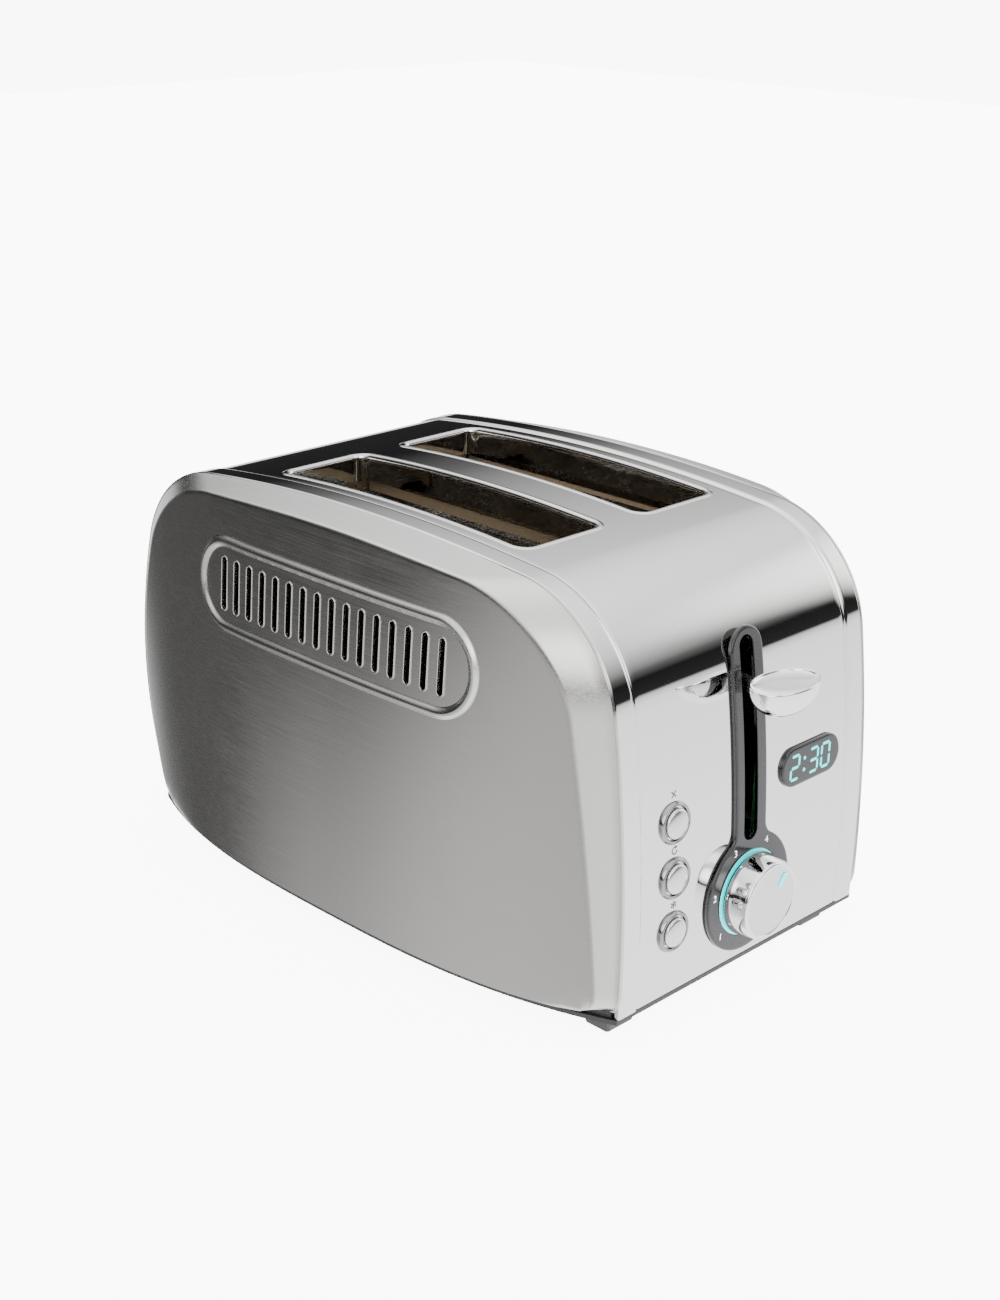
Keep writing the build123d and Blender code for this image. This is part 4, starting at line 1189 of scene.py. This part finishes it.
def build_button_marks():
    """Small plain signs over the keys: cross, round arrow, snow star."""
    s = shape()
    signs = {"cancel": [], "reheat": [], "defrost": []}
    signs["cancel"] += [stroke((-1.2, -1.2), (1.2, 1.2), 0.55), stroke((-1.2, 1.2), (1.2, -1.2), 0.55)]
    for step in range(9):
        a = math.radians(60 + 33 * step)
        b = math.radians(60 + 33 * (step + 1))
        signs["reheat"].append(stroke((1.35 * math.cos(a), 1.35 * math.sin(a)),
            (1.35 * math.cos(b), 1.35 * math.sin(b)), 0.5))
    signs["reheat"].append([(0.35, 2.0), (0.35, 0.6), (1.7, 1.3)])
    for step in range(3):
        a = math.radians(90 + 60 * step)
        tip = (1.6 * math.cos(a), 1.6 * math.sin(a))
        signs["defrost"].append(stroke((-tip[0], -tip[1]), tip, 0.4))
        for end in (1, -1):
            for lean in (-40, 40):
                b = a + math.radians(lean)
                hub = (end * 0.9 * math.cos(a), end * 0.9 * math.sin(a))
                far = (hub[0] + end * 0.65 * math.cos(b), hub[1] + end * 0.65 * math.sin(b))
                signs["defrost"].append(stroke(hub, far, 0.3))
    meshes = []
    for row, name in enumerate(("defrost", "reheat", "cancel")):
        z = s.button_low + row * s.button_pitch + mm(10.9)
        place = front_plane(s.button_x, z, -s.panel_step)
        for number, outline in enumerate(signs[name]):
            points = [(mm(x), mm(y)) for x, y in outline]
            lift = mm(0.03 + 0.004 * number)
            mark = prism("mark", points, place, -mm(0.1), lift, [look("ink")])
            meshes.append(mark.data)
            bpy.data.objects.remove(mark, do_unlink=True)
    marks = join_meshes("button_marks", meshes, [look("ink")])
    return register_piece(marks, HOUSING, "polished_wrap")


def build_display():
    """Dark lens of the display."""
    s = shape()
    layers = []
    for d, h in [(0.0, -0.62), (0.0, 0.2), (0.12, 0.5), (0.4, 0.7), (0.9, 0.8), (1.5, 0.82)]:
        outline = stadium(mm(36.0 - 2 * d), mm(15.5 - 2 * d), 24)
        layers.append([front_plane(s.display_x, s.display_z, mm(h)) @ Vector((x, y, 0)) for x, y in outline])
    count = len(layers[0])
    faces = grid_faces(len(layers), count, closed_columns=True)
    faces.append(tuple(reversed(range(count))))
    faces.append(tuple(range((len(layers) - 1) * count, len(layers) * count)))
    lens = new_piece("display_lens", [v for layer in layers for v in layer], faces, [look("black")])
    return register_piece(lens, HOUSING, "gloss_black", "display_window")


def build_digits():
    """Seven-segment digits and a colon."""
    s = shape()
    bars = {"a": (0, 1, 0), "b": (0.5, 0.5, 1), "c": (0.5, -0.5, 1), "d": (0, -1, 0),
            "e": (-0.5, -0.5, 1), "f": (-0.5, 0.5, 1), "g": (0, 0, 0)}
    place = front_plane(s.display_x, s.display_z, 0)
    meshes = []
    slant = math.tan(math.radians(6))
    wide = 4.9
    tall = 9.2
    half = 0.55
    for shift, lit in ((-10.4, "abged"), (1.2, "abgcd"), (8.6, "abcdef")):
        for name in lit:
            px, pz, upright = bars[name]
            cx = px * wide
            cz = pz * tall / 2
            reach = (tall / 2 if upright else wide) / 2 - 0.25
            if upright:
                outline = [(-half, -reach + half), (0, -reach), (half, -reach + half),
                           (half, reach - half), (0, reach),
                           (-half, reach - half)]
            else:
                outline = [(-reach + half, -half), (reach - half, -half), (reach, 0), (reach - half, half),
                           (-reach + half, half), (-reach, 0)]
            points = [(mm(shift + cx + x + (cz + y) * slant), mm(cz + y)) for x, y in outline]
            bar = prism("bar", points, place, mm(0.8), mm(0.88), [look("teal")])
            meshes.append(bar.data)
            bpy.data.objects.remove(bar, do_unlink=True)
    for cz in (-2.3, 2.3):
        points = [(mm(-4.6 + cz * slant + 0.75 * math.cos(a)), mm(cz + 0.75 * math.sin(a)))
                  for a in np.linspace(0, math.tau, 12, endpoint=False)]
        dot = prism("dot", points, place, mm(0.8), mm(0.88), [look("teal")])
        meshes.append(dot.data)
        bpy.data.objects.remove(dot, do_unlink=True)
    digits = join_meshes("digits", meshes, [look("teal")])
    return register_piece(digits, HOUSING, "teal_light", "display_digits")


# ---- kept pieces -------------------------------------------------------------
def dress_kept():
    """Finishes for the pieces that keep their own shape."""
    finishes = {
        "moulded": ("base", "tray_pull", "mains_gland", "browning_control", "display_module",
                    "front_left_foot",
                    "front_right_foot", "rear_left_foot", "rear_right_foot"),
        "mica": ("left_heater_board", "center_heater_board", "right_heater_board"),
        "ribbon": ("left_heating_wires", "center_heating_wires", "right_heating_wires"),
        "board": ("button_board", "display_board", "power_board"),
        "copper": ("magnet_coil",),
        "brass": ("bulkhead_rivets", "carriage_rivets"),
        "rod": ("guide_rods", "carriage_spring", "knob_shaft", "lever_arm", "magnet_core", "base_screws"),
        "casing": ("power_relay", "tact_switches"),
    }
    named = {node: finish for finish, nodes in finishes.items() for node in nodes}
    for node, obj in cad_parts.items():
        if obj.hide_render:
            continue
        obj.data.materials.clear()
        obj.data.materials.append(look(named.get(node, "inner")))


# ---- stage -------------------------------------------------------------------
def blob(nodes, links, coords, centre, inner, outer, value):
    """A soft patch of light or dark round a direction of the sky; returns its mask and value."""
    dot = nodes.new("ShaderNodeVectorMath")
    dot.operation = "DOT_PRODUCT"
    dot.inputs[1].default_value = Vector(centre).normalized()
    links.new(coords, dot.inputs[0])
    soft = nodes.new("ShaderNodeMapRange")
    soft.interpolation_type = "SMOOTHSTEP"
    soft.inputs["From Min"].default_value = math.cos(math.radians(outer))
    soft.inputs["From Max"].default_value = math.cos(math.radians(inner))
    links.new(dot.outputs["Value"], soft.inputs["Value"])
    return soft.outputs["Result"], value


def build_world():
    """Studio surroundings: light floor, dark horizon, soft panels; plain white behind."""
    world = bpy.data.worlds.new("studio")
    bpy.context.scene.world = world
    world.use_nodes = True
    nodes = world.node_tree.nodes
    links = world.node_tree.links
    nodes.clear()
    coords = nodes.new("ShaderNodeTexCoord")
    split = nodes.new("ShaderNodeSeparateXYZ")
    links.new(coords.outputs["Generated"], split.inputs[0])
    scale = nodes.new("ShaderNodeMapRange")
    scale.inputs["From Min"].default_value = -1.0
    scale.inputs["From Max"].default_value = 1.0
    links.new(split.outputs["Z"], scale.inputs["Value"])
    ramp = nodes.new("ShaderNodeValToRGB")
    stops = ((0.0, 0.85), (0.22, 0.80), (0.33, 0.74), (0.46, 0.56), (0.492, 0.34), (0.506, 0.010),
             (0.585, 0.006),
             (0.62, 0.05), (0.67, 0.20), (0.73, 0.40), (0.86, 0.62), (1.0, 0.80))
    bands = ramp.color_ramp.elements
    for number, (place, value) in enumerate(stops):
        element = bands[number] if number < 2 else bands.new(place)
        element.position = place
        element.color = (value * 0.98, value * 0.985, value, 1)
    links.new(scale.outputs["Result"], ramp.inputs["Fac"])
    current = ramp.outputs["Color"]
    patches = (
        ((-0.55, 0.80, -0.05), 22, 62, 0.012),
        ((-0.30, 0.88, -0.42), 6, 34, 0.035),
        ((-0.92, 0.10, -0.42), 4, 40, 0.20),
        ((-0.70, 0.35, -0.75), 6, 36, 0.30),
        ((-0.70, -0.60, 0.45), 8, 26, 1.6),
        ((0.95, -0.25, 0.30), 8, 24, 1.2),
        ((0.10, -0.95, 0.60), 6, 20, 1.0),
        ((-0.15, 0.45, 0.95), 10, 30, 0.9),
    )
    for centre, inner, outer, value in patches:
        mask, value = blob(nodes, links, coords.outputs["Generated"], centre, inner, outer, value)
        mix = nodes.new("ShaderNodeMix")
        mix.data_type = "RGBA"
        mix.inputs["B"].default_value = (value, value, value, 1)
        links.new(mask, mix.inputs["Factor"])
        links.new(current, mix.inputs["A"])
        current = mix.outputs["Result"]
    seen = nodes.new("ShaderNodeBackground")
    seen.inputs["Color"].default_value = (1.0, 1.0, 1.0, 1)
    seen.inputs["Strength"].default_value = 9.0
    around = nodes.new("ShaderNodeBackground")
    around.inputs["Strength"].default_value = 3.2
    links.new(current, around.inputs["Color"])
    path = nodes.new("ShaderNodeLightPath")
    both = nodes.new("ShaderNodeMixShader")
    links.new(path.outputs["Is Camera Ray"], both.inputs["Fac"])
    links.new(around.outputs[0], both.inputs[1])
    links.new(seen.outputs[0], both.inputs[2])
    end = nodes.new("ShaderNodeOutputWorld")
    links.new(both.outputs[0], end.inputs["Surface"])


def build_floor():
    """Large pale floor."""
    verts = [(-3, -3, 0), (3, -3, 0), (3, 3, 0), (-3, 3, 0)]
    mesh = bpy.data.meshes.new("floor")
    mesh.from_pydata(verts, [], [(0, 1, 2, 3)])
    floor = bpy.data.objects.new("floor", mesh)
    bpy.context.scene.collection.objects.link(floor)
    material = bpy.data.materials.new("floor")
    material.use_nodes = True
    nodes = material.node_tree.nodes
    links = material.node_tree.links
    shader = nodes["Principled BSDF"]
    shader.inputs["Roughness"].default_value = 0.9
    shader.inputs["Specular IOR Level"].default_value = 0.0
    coords = nodes.new("ShaderNodeTexCoord")
    noise = nodes.new("ShaderNodeTexNoise")
    noise.inputs["Scale"].default_value = 3.0
    links.new(coords.outputs["Object"], noise.inputs["Vector"])
    shade = nodes.new("ShaderNodeMix")
    shade.data_type = "RGBA"
    shade.inputs["A"].default_value = (0.93, 0.93, 0.93, 1)
    shade.inputs["B"].default_value = (0.95, 0.95, 0.95, 1)
    links.new(noise.outputs["Fac"], shade.inputs["Factor"])
    links.new(shade.outputs["Result"], shader.inputs["Base Color"])
    shader.inputs["Emission Color"].default_value = (1, 1, 1, 1)
    shader.inputs["Emission Strength"].default_value = 8.5
    mesh.materials.append(material)
    floor.visible_glossy = False


def build_camera():
    """Camera high in front of the left corner."""
    azimuth = math.radians(-45.26)
    height = math.radians(25.26)
    roll = math.radians(0.73)
    ahead = Vector((-math.sin(azimuth) * math.cos(height), math.cos(azimuth) * math.cos(height),
        -math.sin(height)))
    right = Vector((math.cos(azimuth), math.sin(azimuth), 0))
    up = right.cross(ahead)
    right_turned = math.cos(roll) * right + math.sin(roll) * up
    up_turned = -math.sin(roll) * right + math.cos(roll) * up
    camera = bpy.data.cameras.new("camera")
    camera.lens = 53.52
    camera.sensor_width = 36.0
    camera.shift_y = 0.1136
    camera.clip_start = 0.02
    camera.clip_end = 50.0
    holder = bpy.data.objects.new("camera", camera)
    turn = Matrix((right_turned, up_turned, -ahead)).transposed().to_4x4()
    holder.matrix_world = Matrix.Translation((-0.5262, -0.5197, 0.3802)) @ turn
    bpy.context.scene.collection.objects.link(holder)
    bpy.context.scene.camera = holder


# ---- operators ---------------------------------------------------------------
class TOASTER_OT_wrap(bpy.types.Operator):
    """Build the bent wrap and the rolled edges of its bread slots"""
    bl_idname = "toaster.wrap"
    bl_label = "Wrap"

    def execute(self, context):
        build_wrap()
        build_slot_rims()
        return {"FINISHED"}


class TOASTER_OT_side_pans(bpy.types.Operator):
    """Build the two side pans with their beads and vents"""
    bl_idname = "toaster.side_pans"
    bl_label = "Side pans"

    def execute(self, context):
        for sign in (-1, 1):
            build_side_pan(sign)
            build_bead(sign)
            build_vent_lips(sign)
        return {"FINISHED"}


class TOASTER_OT_bezel(bpy.types.Operator):
    """Build the black trim round the lever slot and the dial"""
    bl_idname = "toaster.bezel"
    bl_label = "Bezel"

    def execute(self, context):
        build_bezel()
        build_dial_ring()
        build_dial_numbers()
        return {"FINISHED"}


class TOASTER_OT_knob(bpy.types.Operator):
    """Build the browning knob"""
    bl_idname = "toaster.knob"
    bl_label = "Browning knob"

    def execute(self, context):
        build_knob()
        return {"FINISHED"}


class TOASTER_OT_lever(bpy.types.Operator):
    """Build the lever's paddle"""
    bl_idname = "toaster.lever"
    bl_label = "Lever"

    def execute(self, context):
        build_lever()
        return {"FINISHED"}


class TOASTER_OT_buttons(bpy.types.Operator):
    """Build the three keys and their signs"""
    bl_idname = "toaster.buttons"
    bl_label = "Buttons"

    def execute(self, context):
        build_buttons()
        build_button_marks()
        return {"FINISHED"}


class TOASTER_OT_display(bpy.types.Operator):
    """Build the display and its digits"""
    bl_idname = "toaster.display"
    bl_label = "Display"

    def execute(self, context):
        build_display()
        build_digits()
        return {"FINISHED"}


class TOASTER_OT_inside(bpy.types.Operator):
    """Give the kept pieces their finishes"""
    bl_idname = "toaster.inside"
    bl_label = "Kept pieces"

    def execute(self, context):
        dress_kept()
        return {"FINISHED"}


class TOASTER_OT_stage(bpy.types.Operator):
    """Make the floor, surroundings, lights and camera"""
    bl_idname = "toaster.stage"
    bl_label = "Stage"

    def execute(self, context):
        build_world()
        build_floor()
        build_camera()
        return {"FINISHED"}


class TOASTER_PT_panel(bpy.types.Panel):
    """Sidebar panel with the toaster's sizes, colours and build steps."""
    bl_idname = "TOASTER_PT_panel"
    bl_label = "Pop up toaster"
    bl_space_type = "VIEW_3D"
    bl_region_type = "UI"
    bl_category = "Toaster"

    def draw(self, context):
        for operator in OPERATORS:
            self.layout.operator(operator.bl_idname)
        for settings in (context.scene.toaster_shape, context.scene.toaster_colours):
            box = self.layout.box()
            for name in settings.bl_rna.properties.keys():
                if name not in ("rna_type", "name"):
                    box.prop(settings, name)


OPERATORS = (TOASTER_OT_wrap, TOASTER_OT_side_pans, TOASTER_OT_bezel, TOASTER_OT_knob, TOASTER_OT_lever,
             TOASTER_OT_buttons, TOASTER_OT_display, TOASTER_OT_inside, TOASTER_OT_stage)
CLASSES = (ToasterShape, ToasterColours, *OPERATORS, TOASTER_PT_panel)


def register():
    """Register the classes and settings."""
    for item in CLASSES:
        bpy.utils.register_class(item)
    bpy.types.Scene.toaster_shape = bpy.props.PointerProperty(type=ToasterShape)
    bpy.types.Scene.toaster_colours = bpy.props.PointerProperty(type=ToasterColours)


def unregister():
    """Remove the settings and classes."""
    del bpy.types.Scene.toaster_colours
    del bpy.types.Scene.toaster_shape
    for item in reversed(CLASSES):
        bpy.utils.unregister_class(item)


def main():
    """Build everything in order."""
    register()
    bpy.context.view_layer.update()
    bpy.ops.toaster.wrap()
    bpy.ops.toaster.side_pans()
    bpy.ops.toaster.bezel()
    bpy.ops.toaster.knob()
    bpy.ops.toaster.lever()
    bpy.ops.toaster.buttons()
    bpy.ops.toaster.display()
    bpy.ops.toaster.inside()
    bpy.ops.toaster.stage()
    bpy.context.view_layer.update()


if __name__ == "__main__":
    main()
